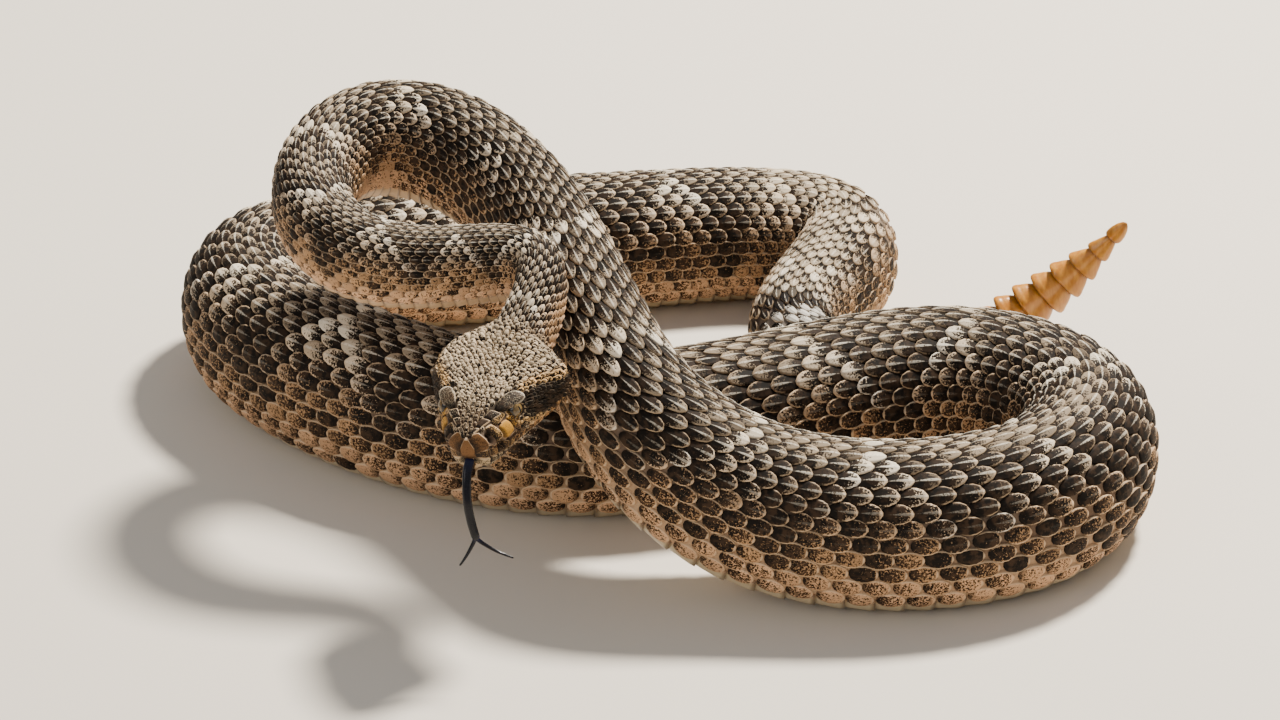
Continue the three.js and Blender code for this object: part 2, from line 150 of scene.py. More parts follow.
def read_table(table, x):
    """A smooth curve through the rows of a table, read at x."""
    rows = np.array(table, float)
    last = len(rows) - 1
    i = np.clip(np.searchsorted(rows[:, 0], x, side="left") - 1, 0, last - 1)
    a, b = rows[i], rows[i + 1]
    p, q = rows[np.maximum(i - 1, 0)], rows[np.minimum(i + 2, last)]
    span = (b[..., :1] - a[..., :1])
    f = np.clip((np.asarray(x, float)[..., None] - a[..., :1]) / span, 0, 1)
    leave = (b - p) / (b[..., :1] - p[..., :1]) * span
    arrive = (q - a) / (q[..., :1] - a[..., :1]) * span
    held = a * (2 * f ** 3 - 3 * f ** 2 + 1) + b * (3 * f ** 2 - 2 * f ** 3)
    return (held + leave * (f ** 3 - 2 * f ** 2 + f) + arrive * (f ** 3 - f ** 2))[..., 1:]


neck_wide, neck_high = (size[0] for size in station(np.array([0.0]))[4:])
HEAD_TABLE = HEAD_FORM + [(HEAD_LENGTH, neck_wide, neck_high, neck_high, BODY_POWER, BODY_TAPER)]


def section_point(form, degrees, lift):
    """Out and up of the skin in its own section, at an angle from the spine."""
    wide, top, bottom, power, taper = (form[..., i] for i in range(5))
    angle = np.radians(degrees)
    sin, cos = np.sin(angle), np.cos(angle)
    tall = np.where(cos > 0, top, bottom)
    reach = (np.abs(sin / wide) ** power + np.abs(cos / tall) ** power) ** (-1 / power) + lift
    crown = np.maximum(cos, 0) * reach / top
    return sin * reach * (1 - taper * crown * crown), cos * reach


def head_form(back):
    return read_table(HEAD_TABLE, np.clip(back, 0, HEAD_LENGTH))


def skin(s, degrees, lift=0.0, floor=0.0):
    """Points of the surface at s and an angle from the spine, lifted off it.

    In front of the snout's first section the surface closes over the last half millimetre.
    """
    s, degrees, lift = np.broadcast_arrays(np.asarray(s, float), np.asarray(degrees, float),
                                           np.asarray(lift, float))
    ahead = np.clip(-HEAD_LENGTH - s, 0, SNOUT_CAP)
    s = np.maximum(s, -HEAD_LENGTH)
    centre, along, side, up, wide, high = station(s)
    body = np.stack([wide, high, high, np.full_like(s, BODY_POWER), np.full_like(s, BODY_TAPER)], -1)
    form = np.where((s >= 0)[..., None], body, read_table(HEAD_TABLE, s + HEAD_LENGTH))
    out, rise = section_point(form, degrees, lift)
    narrow = np.sqrt(1 - ahead / SNOUT_CAP)
    out = out * narrow
    rise = np.where(ahead > 0, SNOUT_MIDDLE + (rise - SNOUT_MIDDLE) * narrow, rise)
    forward = ahead + (lift + SKIN_DEPTH) * (1 - narrow)
    point = centre + side * out[..., None] + up * rise[..., None] - along * forward[..., None]
    point[..., 2] = np.maximum(point[..., 2], floor)
    return point


def angle_at(back, up):
    """The angle from the spine at which the head's skin has a height over its axis, by halving."""
    back, up = np.broadcast_arrays(np.asarray(back, float), np.asarray(up, float))
    form = head_form(back)
    low, high = np.zeros_like(back), np.full_like(back, 180)
    for _ in range(26):
        mid = (low + high) / 2
        above = section_point(form, mid, 0)[1] > up
        low, high = np.where(above, mid, low), np.where(above, high, mid)
    return low


def at_head(back, out, up):
    """A point by its place behind the snout, to the side and over the head's axis."""
    centre, _, side, rise, _, _ = station(np.array([back - HEAD_LENGTH]))
    return (centre + side * out + rise * up)[0]


def mouth_level(back):
    return read_table(MOUTH, back)[..., 0]


def hollow_spot(place, side):
    """Where a nostril or a pit lies on the skin, and which way it opens."""
    degrees = float(angle_at(place["back"], place["up"])) * side
    s = place["back"] - HEAD_LENGTH
    point = skin(s, degrees)
    return point, unit(skin(s, degrees, 1.0) - point)


HOLLOWS = [(*hollow_spot(place, side), place["radius"], place["depth"])
           for place in NOSTRILS + HEAT_PITS for side in (1, -1)]


def hollowed(points):
    """Presses the nostrils and the heat pits into points of the head, and says how deep each lies."""
    depth = np.zeros(points.shape[:-1])
    for place, outward, radius, deep in HOLLOWS:
        gap = np.linalg.norm(points - place, axis=-1)
        press = np.exp(-(gap / radius) ** 4)
        points = points - outward * (press * deep)[..., None]
        depth = np.maximum(depth, press)
    return points, depth


# ---- Markings ----

def paint(hexa):
    """A colour as the shaders take it, from its six written digits."""
    parts = np.array([int(hexa[i:i + 2], 16) / 255 for i in (0, 2, 4)])
    return np.where(parts <= 0.04045, parts / 12.92, ((parts + 0.055) / 1.055) ** 2.4)


def over(under, colour, share):
    """A colour laid over another, by a share for each place."""
    share = np.asarray(share)[..., None]
    return under * (1 - share) + colour * share


BACK_GROUND = paint("c6b59c")
FLANK_GROUND = paint("ab8560")
LOW_FLANK = paint("cda27c")
BELLY = paint("bba988")
DIAMOND = paint("54412f")
DIAMOND_EDGE = paint("30251c")
BORDER = paint("ece3d2")
BETWEEN = paint("4f433d")
FLANK_BETWEEN = paint("a88c70")
CROWN = paint("bda98d")
BROW = paint("93826a")
TEMPLE_STRIPE = paint("1a1410")
CHEEK_PALE = paint("cfa46a")
OCHRE = paint("c58f3a")
PLATE_BROWN = paint("6f4e30")
LIP = paint("b08a5c")
LIP_PEACH = paint("cf9a66")
TAIL_WHITE = paint("b9b4ab")
TAIL_BLACK = paint("1d1a1a")

# The length of a scale along the body, by distance from the head.
SCALE_PITCH = [(0, 3.1), (60, 3.9), (130, 5.1), (220, 6.5), (320, 7.6), (450, 8.2), (650, 8.2), (850, 7.6),
               (1000, 6.4), (1100, 5.1), (1200, 4.0)]
DIAMOND_COLUMNS = 6.4
FLANK_FOOT = 130
TAIL_RINGS_FROM = 1122.0
TAIL_RING_COLUMNS = 3.2


def pitch_at(s):
    return read_table(SCALE_PITCH, s)[..., 0]


def count_columns():
    """Where each column of scales begins, from the head to the rattle."""
    marks = [0.0]
    while marks[-1] < RATTLE_START - 2:
        marks.append(marks[-1] + float(pitch_at(marks[-1])))
    return np.array(marks)


COLUMNS = count_columns()
COLUMN_NUMBERS = np.arange(len(COLUMNS))


def patch(phase, down, centre, reach):
    """An oval patch of the pattern, about a phase and a share of the way down the flank."""
    off = ((phase - centre[0]) / reach[0]) ** 2 + ((down - centre[1]) / reach[1]) ** 2
    return np.clip(1 - off, 0, 1) ** 0.5


def turned(degrees):
    """How far round from the spine, without the side."""
    return np.abs((degrees + 180) % 360 - 180)


def body_tone(s, degrees):
    """The colour of the body at a place, and how pale and how dark its markings are."""
    s, degrees = np.broadcast_arrays(np.asarray(s, float), np.asarray(degrees, float))
    column = np.interp(s, COLUMNS, COLUMN_NUMBERS)
    turn = turned(degrees)
    down = turn / FLANK_FOOT
    phase = np.abs((column / DIAMOND_COLUMNS) % 1 - 0.5) * 2
    reach = (1 - phase) * 1.0 + down / 0.6
    inside = falling(reach, 0.93, 1.06)
    edge = rising(reach, 0.6, 0.8) * inside
    border = rising(reach, 1.0, 1.06) * falling(reach, 1.2, 1.3) * falling(down, 0.4, 0.7)
    blotch = patch(phase, down, (1, 0.66), (0.4, 0.16))
    blotch = np.maximum(blotch, 0.8 * patch(phase, down, (0, 0.78), (0.3, 0.1)))
    tone = over(BACK_GROUND, FLANK_GROUND, rising(down, 0.14, 0.62))
    tone = over(tone, LOW_FLANK, rising(down, 0.78, 0.98))
    faded = 1 - 0.2 * rising(s, 700, 1000) - 0.4 * rising(s, 1000, 1070)
    for mask, colour, strength in ((inside, DIAMOND, 0.62), (edge, DIAMOND_EDGE, 0.6),
                                   (blotch, DIAMOND, 0.55), (border, BORDER, 0.12)):
        tone = over(tone, colour, mask * strength * faded)
    tail = rising(s, TAIL_RINGS_FROM - 3, TAIL_RINGS_FROM + 3)
    ring = ((column - np.interp(TAIL_RINGS_FROM, COLUMNS, COLUMN_NUMBERS)) / TAIL_RING_COLUMNS) % 1
    ringed = over(TAIL_WHITE, TAIL_BLACK, rising(ring, 0.0, 0.06) * falling(ring, 0.46, 0.52))
    tone = over(tone, ringed, tail)
    under = rising(turn, FLANK_FOOT + 1, FLANK_FOOT + 6) * (1 - 0.5 * tail)
    tone = over(tone, over(BELLY, LOW_FLANK, 0.55 * falling(s, 170, 240)), under)
    return tone, border * (1 - tail), np.maximum(inside, blotch) * (1 - tail)


def stripe_at(back, degrees):
    """The dark stripe from the eye to the mouth's corner, with its pale edges, on the side of the head."""
    turn = turned(np.asarray(degrees, float))
    level = np.interp(back, [12, 16, 24, 32, 40, 48], [84, 78, 84, 94, 100, 104])
    half = np.interp(back, [11, 14, 18, 24, 34, 44, 48], [0, 6, 13, 16, 14, 9, 6])
    off = (turn - level) / np.maximum(half, 0.1)
    dark = falling(np.abs(off), 0.75, 1.05) * rising(back, 12, 15) * falling(back, 42, 48)
    upper = rising(off, -1.75, -1.35) * falling(off, -1.1, -0.9) * rising(back, 14, 18)
    lower = rising(off, 0.9, 1.1) * falling(off, 1.5, 2.2) * rising(back, 10, 14)
    return dark, (upper + lower) * falling(back, 38, 46)


def head_tone(back, degrees):
    """The colour of the head's skin and small scales at a place."""
    back, degrees = np.broadcast_arrays(np.asarray(back, float), np.asarray(degrees, float))
    turn = turned(degrees)
    dark, pale = stripe_at(back, degrees)
    mouth = angle_at(back, mouth_level(back))
    tone = over(CROWN, PLATE_BROWN, rising(turn, 50, 62) * falling(back, 12, 18))
    tone = over(tone, DIAMOND, falling(back, 7, 14) * falling(turn, 44, 52) * 0.55)
    tone = over(tone, TEMPLE_STRIPE, 0.92 * dark)
    tone = over(tone, CHEEK_PALE, 0.85 * pale)
    tone = over(tone, LIP, rising(turn, mouth - 12, mouth - 6) * (1 - dark * 0.6))
    return over(tone, BELLY, rising(turn, mouth + 8, mouth + 26))


def tone_at(s, degrees):
    """Head and body colours in one, so that skin and scales agree from the snout to the rattle."""
    s, degrees = np.broadcast_arrays(np.asarray(s, float), np.asarray(degrees, float))
    body, pale, dark = body_tone(np.maximum(s, 0), degrees)
    share = rising(s, -9, 5)
    head = head_tone(np.clip(s + HEAD_LENGTH, 0, HEAD_LENGTH), degrees)
    return over(head, body, share), pale * share, dark * share


# ---- Meshes ----

def give(mesh, name, values):
    """Writes one value, or one vector or colour, for each point of a mesh."""
    values = np.asarray(values, np.float32)
    kind, key = ("FLOAT", "value") if values.ndim == 1 else ("FLOAT_VECTOR", "vector")
    mesh.attributes.new(name, kind, "POINT").data.foreach_set(key, values.reshape(-1))


def put(name, data):
    """Puts a finished mesh, lamp or camera in the scene."""
    made = bpy.data.objects.new(name, data)
    bpy.context.scene.collection.objects.link(made)
    return made


def settle(mesh, material, replaced=()):
    """Turns a finished mesh into a piece of its name that rides on the one body."""
    piece = put(mesh.name, mesh)
    mesh.materials.append(material)
    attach(piece, "root")
    if replaced:
        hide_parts(*replaced)


def mesh_from(bm, name):
    mesh = bpy.data.meshes.new(name)
    bm.to_mesh(mesh)
    bm.free()
    return mesh


def points_of(mesh):
    flat = np.zeros(len(mesh.vertices) * 3)
    mesh.vertices.foreach_get("co", flat)
    return flat.reshape(-1, 3)


def sheet_mesh(name, place, across, along):
    """A grid of across by along cells, each corner put in place by place(i, j), and welded shut."""
    bm = bmesh.new()
    bmesh.ops.create_grid(bm, x_segments=across, y_segments=along, size=0.5)
    mesh = mesh_from(bm, name)
    flat = points_of(mesh)
    points, values = place(*np.rint((flat[:, :2] + 0.5) * (across, along)).astype(int).T)
    mesh.vertices.foreach_set("co", (points * MM).reshape(-1))
    for key, value in values.items():
        give(mesh, key, value)
    bm = bmesh.new()
    bm.from_mesh(mesh)
    bmesh.ops.remove_doubles(bm, verts=bm.verts, dist=2e-6)
    bmesh.ops.recalc_face_normals(bm, faces=bm.faces)
    bm.to_mesh(mesh)
    bm.free()
    mesh.shade_smooth()
    return mesh


def leaf(across, along):
    """The pattern that scales are bent from: a grid from side to side and root to tip, with a wall below.

    Returns each corner's place across (-1 to 1) and along (0 to 1) and whether it is at the wall's foot,
    then the faces, and how many of them are on top.
    """
    wide, long = len(across) - 1, len(along) - 1
    bm = bmesh.new()
    bmesh.ops.create_grid(bm, x_segments=wide, y_segments=long, size=0.5)
    top = len(bm.faces)
    wall = bmesh.ops.extrude_edge_only(bm, edges=[edge for edge in bm.edges if edge.is_boundary])["geom"]
    foot = [item for item in wall if isinstance(item, bmesh.types.BMVert)]
    bmesh.ops.translate(bm, verts=foot, vec=(0, 0, -1))
    bmesh.ops.edgeloop_fill(bm, edges=[edge for edge in bm.edges if edge.is_boundary])
    bmesh.ops.recalc_face_normals(bm, faces=bm.faces)
    bm.verts.index_update()
    grid = [(across[round((v.co.x + 0.5) * wide)], along[round((v.co.y + 0.5) * long)], float(v.co.z < -0.5))
            for v in bm.verts]
    faces = [[v.index for v in face.verts] for face in bm.faces]
    bm.free()
    # Each face starts at its lowest corner, so that every run gives the same mesh.
    return np.array(grid), [np.roll(face, -face.index(min(face))) for face in faces], top


PATCH_SIZE = (0.0015, 0.003)


def join_leaves(name, pattern, points, values, patches):
    """One mesh from many bent copies of a pattern, each with a small patch of the map OFBake at its root."""
    grid, faces, smooth = pattern
    number, each = points.shape[:2]
    flat = np.concatenate(faces)
    corners = (np.arange(number)[:, None] * each + flat[None, :]).reshape(-1)
    totals = np.tile([len(f) for f in faces], number)
    starts = np.concatenate([[0], np.cumsum(totals)[:-1]])
    mesh = bpy.data.meshes.new(name)
    mesh.vertices.add(number * each)
    mesh.vertices.foreach_set("co", (points.reshape(-1) * MM).astype(np.float32))
    mesh.loops.add(len(corners))
    mesh.loops.foreach_set("vertex_index", corners.astype(np.int32))
    mesh.polygons.add(len(totals))
    mesh.polygons.foreach_set("loop_start", starts.astype(np.int32))
    mesh.polygons.foreach_set("use_smooth", np.tile(np.arange(len(faces)) < smooth, number))
    mesh.update(calc_edges=True)
    for key, value in values.items():
        give(mesh, key, value.reshape(-1) if value.ndim == 2 else value.reshape(-1, 3))
    local = np.stack([grid[:, 0] * PATCH_SIZE[0], (grid[:, 1] - 0.5) * PATCH_SIZE[1]], -1)
    spread = (patches[:, None, :] + local[None, :, :]).reshape(-1, 2)
    layer = mesh.uv_layers.new(name="OFBake")
    layer.data.foreach_set("uv", spread[corners].astype(np.float32).reshape(-1))
    mesh.validate()
    return mesh


def unwrapped(s, degrees, start, end):
    """The place on a coat's unwrap: round the body across, along the body up, with a margin."""
    return np.stack([0.02 + 0.96 * ((degrees % 360) / 360), 0.02 + 0.96 * (s - start) / (end - start)], -1)


def together(*parts):
    """Values for scales and for their points, as one vector for each point of each scale."""
    return np.stack(np.broadcast_arrays(*parts), -1)


def lie(grid, chance):
    """Where each point lies on its scale, across and along, with the scale's own chance number."""
    return together(grid[None, :, 0], grid[None, :, 1], chance[:, None])


def profile(tables, share, along):
    """A profile from root to tip, which goes from the first table to the second by each scale's share."""
    first, second = tables
    return np.interp(along, *first)[None, :] * (1 - share) + np.interp(along, *second)[None, :] * share


KEEL_ALONG = ([0, 0.15, 0.5, 0.9, 1], [0, 0.4, 1, 0.8, 0.35])
KEEL_HALF = 0.2
DOME = 0.045
WALL_FOOT = 0.25


def bend_scales(pattern, s, degrees, length, width, shape, rise, keel, sunk, turn=0.0, share=0.0):
    """Lays scales on the skin. Each keeps its own length and width in millimetres wherever the body bends.

    shape gives the half width along the scale, rise how high it stands from root to tip, and keel its ridge.
    """
    share = np.broadcast_to(np.asarray(share, float), s.shape)[:, None]
    across, along, foot = pattern[0].T
    s, degrees = s[:, None], degrees[:, None]
    step = 0.4
    per_s = np.linalg.norm(skin(s + step, degrees) - skin(s - step, degrees), axis=-1) / (2 * step)
    per_degree = np.linalg.norm(skin(s, degrees + 1) - skin(s, degrees - 1), axis=-1) / 2
    x = across[None, :] * profile(shape, share, along) * width[:, None] / 2
    y = (along[None, :] - 0.5) * length[:, None]
    if np.any(turn):
        spin = np.asarray(turn, float)[:, None]
        x, y = x * np.cos(spin) - y * np.sin(spin), x * np.sin(spin) + y * np.cos(spin)
    ridge = np.exp(-(across[None, :] / KEEL_HALF) ** 2) * np.interp(along, *KEEL_ALONG)[None, :]
    dome = (1 - across[None, :] ** 2) * np.sin(np.pi * np.clip(along[None, :], 0.05, 0.97))
    rise = profile(rise, share, along) * length[:, None] / 8
    lift = sunk + (rise + ridge * keel[:, None] + dome * width[:, None] * DOME)
    lift = np.where(foot[None, :] > 0.5, np.minimum(lift, sunk) - WALL_FOOT, lift)
    return skin(s + y * np.clip(per_s, 0.62, 1.08) / np.maximum(per_s, 0.3), degrees + x / per_degree, lift)


def coat(name, pattern, s, degrees, length, width, shape, rise, keel, material, span, sunk=-0.85,
         rim=0.5, speckle=0.5, turn=0.0, vary=0.25, share=0.0, ridged=None):
    """A joined coat of scales, with what the material needs to colour each of them."""
    number = len(s)
    grid = pattern[0]
    points = bend_scales(pattern, s, degrees, length, width, shape, rise, keel, sunk, turn, share)
    chance = draw.random(number)
    tone, pale, dark = tone_at(s, degrees)
    tone = tone * (0.86 + 0.28 * chance)[:, None]
    tone = tone * (1 + vary * (draw.random(number) - 0.5))[:, None]
    stripe = stripe_at(np.clip(s + HEAD_LENGTH, 0, HEAD_LENGTH), degrees)[0] * (s < 4)
    pale = pale * rising(draw.random(number), 0.45, 0.9)
    speckle = np.minimum(speckle + 0.7 * dark + 0.9 * (draw.random(number) > 0.9), 1.9) + 0.9 * stripe
    rim = rim * (1 - 0.7 * stripe)
    if ridged is None:
        ridged = np.clip(keel / 0.4, 0, 1)
    values = {
        "tone": np.broadcast_to(tone[:, None, :], points.shape),
        "lie": lie(grid, chance),
        "trait": together(rim[:, None], speckle[:, None], ridged[:, None] + 0 * grid[:, 0]),
        "pale": np.broadcast_to(pale[:, None], points.shape[:2]),
    }
    settle(join_leaves(name, pattern, points, values, unwrapped(s, degrees, *span)), material)


# ---- Materials ----

class Finish:
    """A small helper that wires the nodes of one material."""

    def __init__(self, name, rough, specular=0.4):
        self.material = bpy.data.materials.new(name)
        self.material.use_nodes = True
        self.tree = self.material.node_tree
        self.shader = self.tree.nodes["Principled BSDF"]
        self.shader.inputs["Roughness"].default_value = rough
        self.shader.inputs["Specular IOR Level"].default_value = specular

    def node(self, kind, *values, **settings):
        """A node with its settings, and its first sockets fed in turn."""
        made = self.tree.nodes.new(kind)
        for key, value in settings.items():
            setattr(made, key, value)
        for socket, value in zip(made.inputs, values):
            self.feed(socket, value)
        return made

    def feed(self, target, value):
        if isinstance(value, bpy.types.NodeSocket):
            self.tree.links.new(value, target)
        else:
            target.default_value = value

    def attribute(self, name, kind="Vector"):
        return self.node("ShaderNodeAttribute", attribute_name=name).outputs[kind]

    def maths(self, operation, a, b=0.0, clamp=False):
        return self.node("ShaderNodeMath", a, b, operation=operation, use_clamp=clamp).outputs[0]

    def times(self, a, b, clamp=False):
        return self.maths("MULTIPLY", a, b, clamp)

    def plus(self, a, b):
        return self.maths("ADD", a, b)

    def squared(self, a):
        return self.maths("POWER", a, 2.0)

    def split(self, vector):
        return self.node("ShaderNodeSeparateXYZ", vector).outputs

    def ramp(self, value, low, high):
        """A smooth rise from 0 to 1 between two values, or a fall where the first is the higher."""
        made = self.node("ShaderNodeMapRange", value, low, high, 0.0, 1.0, interpolation_type="SMOOTHSTEP")
        return made.outputs[0]

    def mix(self, share, a, b):
        made = self.node("ShaderNodeMix", share, data_type="RGBA", blend_type="MIX")
        for socket, item in ((made.inputs[6], a), (made.inputs[7], b)):
            self.feed(socket, item if isinstance(item, bpy.types.NodeSocket) else (*item, 1.0))
        return made.outputs[2]

    def tint(self, colour, other, amount, share):
        """Another colour laid on by an amount times a share."""
        return self.mix(self.times(share, amount), colour, other)

    def noise(self, scale, detail=3.0, rough=0.55, stretch=None):
        where = self.node("ShaderNodeTexCoord").outputs["Object"]
        if stretch is not None:
            moved = self.node("ShaderNodeMapping", where)
            moved.inputs["Scale"].default_value = stretch
            where = moved.outputs[0]
        made = self.node("ShaderNodeTexNoise", where)
        for key, value in (("Scale", scale), ("Detail", detail), ("Roughness", rough)):
            made.inputs[key].default_value = value
        return made.outputs[0]

    def blend(self, *parts):
        """The sum of values, each with its weight."""
        total = 0.0
        for weight, value in parts:
            total = self.node("ShaderNodeMath", value, weight, total, operation="MULTIPLY_ADD").outputs[0]
        return total

    def done(self, colour, height=None, strength=0.0, distance=0.0):
        """The finished material, with its colour and any fine relief."""
        self.feed(self.shader.inputs["Base Color"], colour)
        if height is not None:
            made = self.node("ShaderNodeBump")
            for key, value in (("Strength", strength), ("Distance", distance), ("Height", height)):
                self.feed(made.inputs[key], value)
            self.feed(self.shader.inputs["Normal"], made.outputs[0])
        return self.material


PALE_KEEL_GLINT = paint("e9dfcd")
PALE_RIM_GLINT = paint("ceb291")
WHITE_RIM = paint("f4eee0")
SPECK = paint("15110e")
SPECK_BROWN = paint("382a1f")
DUST = paint("b6a68f")
# Near black, painted as shade in the nostrils, the heat pits, the mouth's fold and the gaps between the small
# scales of the head.
SHADE_COLOUR = paint("120d0a")


def scale_finish(name, rough, keel_share, rim_share, fade, speck_size):
    """Horny scales: a pale ground under ragged dark specks that thin out to the tip, a pale rim and keel that
    are partly painted highlights, and painted shade at the root.
    """
    f = Finish(name, rough, 0.08)
    across, along, chance = f.split(f.attribute("lie"))
    rim, speckle, keeled = f.split(f.attribute("trait"))
    pale = f.attribute("pale", "Fac")
    side = f.maths("ABSOLUTE", across)
    edge = f.maths("MAXIMUM", f.squared(side), f.ramp(along, 0.74, 1.0))
    grain = f.noise(speck_size, 3, 0.75)
    broad = f.noise(380, 3, 0.6)
    cover = f.blend((2.2, speckle), (1.5, f.ramp(edge, 0.88, 0.4)), (1.8, chance), (3.5, broad))
    steep = f.plus(fade, f.times(f.squared(keeled), 6.5))
    from_tip = f.maths("SUBTRACT", along, f.maths("SUBTRACT", 0.42, f.times(keeled, 0.1)))
    level = f.blend((1.0, grain), (0.065, cover), (-0.065, f.times(from_tip, steep)))
    brown = f.times(f.ramp(broad, 0.42, 0.62), f.ramp(keeled, 1.6, 0.4))
    colour = f.tint(f.attribute("tone", "Color"), WHITE_RIM, 0.2, pale)
    colour = f.mix(f.ramp(level, 0.755, 0.785), colour, f.mix(brown, SPECK, SPECK_BROWN))
    # Pale rim at the scale's edge, partly its own thin pale edge and partly a painted highlight on the raised
    # edge.
    rim_glint = f.times(f.ramp(edge, 0.72, 0.85), f.times(rim, rim_share), True)
    rim_glint = f.times(rim_glint, f.ramp(along, 0.0, 0.25))
    rim_glint = f.times(rim_glint, f.ramp(f.times(keeled, f.ramp(along, 0.75, 0.45)), 0.7, 0.2))
    colour = f.mix(rim_glint, colour, f.mix(pale, PALE_RIM_GLINT, WHITE_RIM))
    # Pale keel line, partly the keel's own pale colour and partly a painted glint of light along the keel.
    ridge = f.ramp(f.blend((1.0, side), (-0.36, along)), -0.05, -0.15)
    ridge = f.times(ridge, f.times(f.maths("POWER", keeled, 3.0), keel_share), True)
    ridge = f.times(ridge, f.ramp(grain, 0.4, 0.52))
    ridge = f.times(ridge, f.plus(0.55, f.times(pale, 0.6)), True)
    colour = f.mix(ridge, colour, PALE_KEEL_GLINT)
    # Painted shade at each scale's root, where the scale in front overlaps it.
    colour = f.tint(colour, SPECK, 0.75, f.ramp(along, 0.3, 0.03))
    # Painted shade darkens the nostrils and the heat pits.
    colour = f.mix(f.attribute("painted_shade", "Fac"), colour, SHADE_COLOUR)
    return f.done(colour, f.plus(grain, f.times(broad, 0.6)), 0.3, 0.0002)


def skin_finish():
    f = Finish("soft skin between the scales", 0.7, 0.05)
    fine = f.noise(1500, 4, 0.65)
    colour = f.tint(f.attribute("tone", "Color"), SPECK, 0.25, f.ramp(fine, 0.45, 0.75))
    colour = f.tint(colour, DUST, 0.12, f.ramp(f.noise(260, 3, 0.6), 0.4, 0.7))
    # Painted shade darkens the nostrils, the heat pits, the mouth's fold and the gaps between the small
    # scales of the head and neck.
    colour = f.mix(f.attribute("painted_shade", "Fac"), colour, SHADE_COLOUR)
    return f.done(colour, fine, 0.5, 0.0003)


def belly_finish():
    """Smooth plates, a little clouded, with a dusky hind edge and specked ends."""
    f = Finish("smooth belly plates", 0.42, 0.45)
    across, along, _ = f.split(f.attribute("lie"))
    fine = f.noise(1400, 3, 0.6, (1, 1, 1))
    broad = f.noise(170, 4, 0.6)
    colour = f.tint(f.attribute("tone", "Color"), paint("8d6f4d"), 0.3, f.ramp(broad, 0.42, 0.75))
    colour = f.tint(colour, paint("5a452f"), 0.7, f.ramp(along, 0.8, 0.97))
    ends = f.times(f.ramp(f.maths("ABSOLUTE", across), 0.8, 0.95), 0.55)
    colour = f.mix(f.times(ends, f.ramp(fine, 0.45, 0.6)), colour, SPECK)
    return f.done(colour, fine, 0.15, 0.0002)


def rattle_finish():
    """Streaked horn, darker at the root and the end of each lobe, which lets a little light in."""
    f = Finish("dry horn of the rattle", 0.32, 0.5)
    _, along, _ = f.split(f.attribute("lie"))
    streak = f.noise(700, 3, 0.5, (1, 1, 0.3))
    broad = f.noise(150, 3, 0.55)
    colour = f.mix(f.ramp(streak, 0.3, 0.75), paint("b26f1e"), paint("cb8d36"))
    colour = f.tint(colour, paint("a0692a"), 0.3, f.ramp(broad, 0.45, 0.7))
    colour = f.tint(colour, paint("4f3015"), 0.8, f.ramp(along, 0.16, 0.0))
    colour = f.tint(colour, paint("6a431c"), 0.55, f.ramp(along, 0.8, 1.0))
    f.shader.inputs["Subsurface Weight"].default_value = 0.12
    f.shader.inputs["Subsurface Radius"].default_value = (0.004, 0.002, 0.001)
    return f.done(colour, f.plus(streak, broad), 0.3, 0.0002)


def tongue_finish():
    f = Finish("moist tongue", 0.2, 0.25)
    fine = f.noise(1800, 2, 0.5)
    along = f.split(f.attribute("lie"))[1]
    colour = f.mix(f.ramp(along, 0.45, 0.1), paint("0d0c12"), paint("1d1f3a"))
    colour = f.tint(colour, paint("2b2a33"), 0.2, f.ramp(fine, 0.5, 0.7))
    return f.done(colour, fine, 0.2, 0.0001)


def eye_finish():
    """A grey-bronze iris with a tall slit, under a clear dome."""
    f = Finish("eye under its clear scale", 0.12, 0.3)
    x, y, _ = f.split(f.attribute("gaze"))
    radius = f.maths("SQRT", f.plus(f.squared(x), f.squared(y)))
    colour = f.mix(f.ramp(f.noise(2600, 4, 0.7), 0.35, 0.65), paint("3f3420"), paint("86693a"))
    colour = f.tint(colour, paint("3c342a"), 0.5, f.ramp(f.noise(700, 3, 0.6), 0.45, 0.65))
    colour = f.mix(f.ramp(radius, 0.74, 0.9), colour, paint("14100d"))
    slit = f.plus(f.squared(f.maths("DIVIDE", x, 0.13)), f.squared(f.maths("DIVIDE", y, 0.62)))
    colour = f.mix(f.ramp(slit, 1.15, 0.85), colour, paint("050405"))
    f.shader.inputs["Coat Weight"].default_value = 0.3
    f.shader.inputs["Coat Roughness"].default_value = 0.03
    return f.done(colour)


dorsal = scale_finish("keeled back scales", 0.66, 1.0, 0.7, 1.4, 1500)
granular = scale_finish("small head scales", 0.6, 0.6, 0.4, 5.0, 1700)
plates = scale_finish("smooth head plates", 0.48, 0.0, 0.85, 0.8, 3000)
soft = skin_finish()
belly = belly_finish()
horn = rattle_finish()
wet = tongue_finish()
glassy = eye_finish()


# ---- The skin ----

# Shares of the way from the spine to the mouth, and from the mouth to the middle of the belly.
UPPER = np.concatenate([np.linspace(0, 0.93, 38), [0.95, 0.965, 0.978, 0.99, 1.0]])
LOWER = np.concatenate([[0.012, 0.025, 0.045, 0.07], np.linspace(0.1, 1, 30)])
TURN_SHARES = np.concatenate([UPPER, LOWER])
HALF_ROUND = len(TURN_SHARES) - 1
FLANK_SEAM = 104
FLOOR_GAP = 0.35
FOLD_WIDTH = 1.4


def mouth_angle(s):
    """The angle of the mouth's line, which goes on along the neck as a seam of the grid."""
    back = s + HEAD_LENGTH
    inside = angle_at(np.clip(back, 0, HEAD_LENGTH), mouth_level(np.clip(back, 0, 40)))
    return inside * falling(s, -8, 16) + FLANK_SEAM * rising(s, -8, 16)


snout_rings = -SNOUT_CAP * (1 - np.array([0.0, 0.35, 0.62, 0.82, 0.94]) ** 2)
head_rings = np.concatenate([snout_rings, np.arange(0, HEAD_LENGTH, 0.4)])
RINGS = np.concatenate([head_rings - HEAD_LENGTH, np.linspace(0, RATTLE_START + 0.6, 402)])
RING_MOUTH = mouth_angle(RINGS)


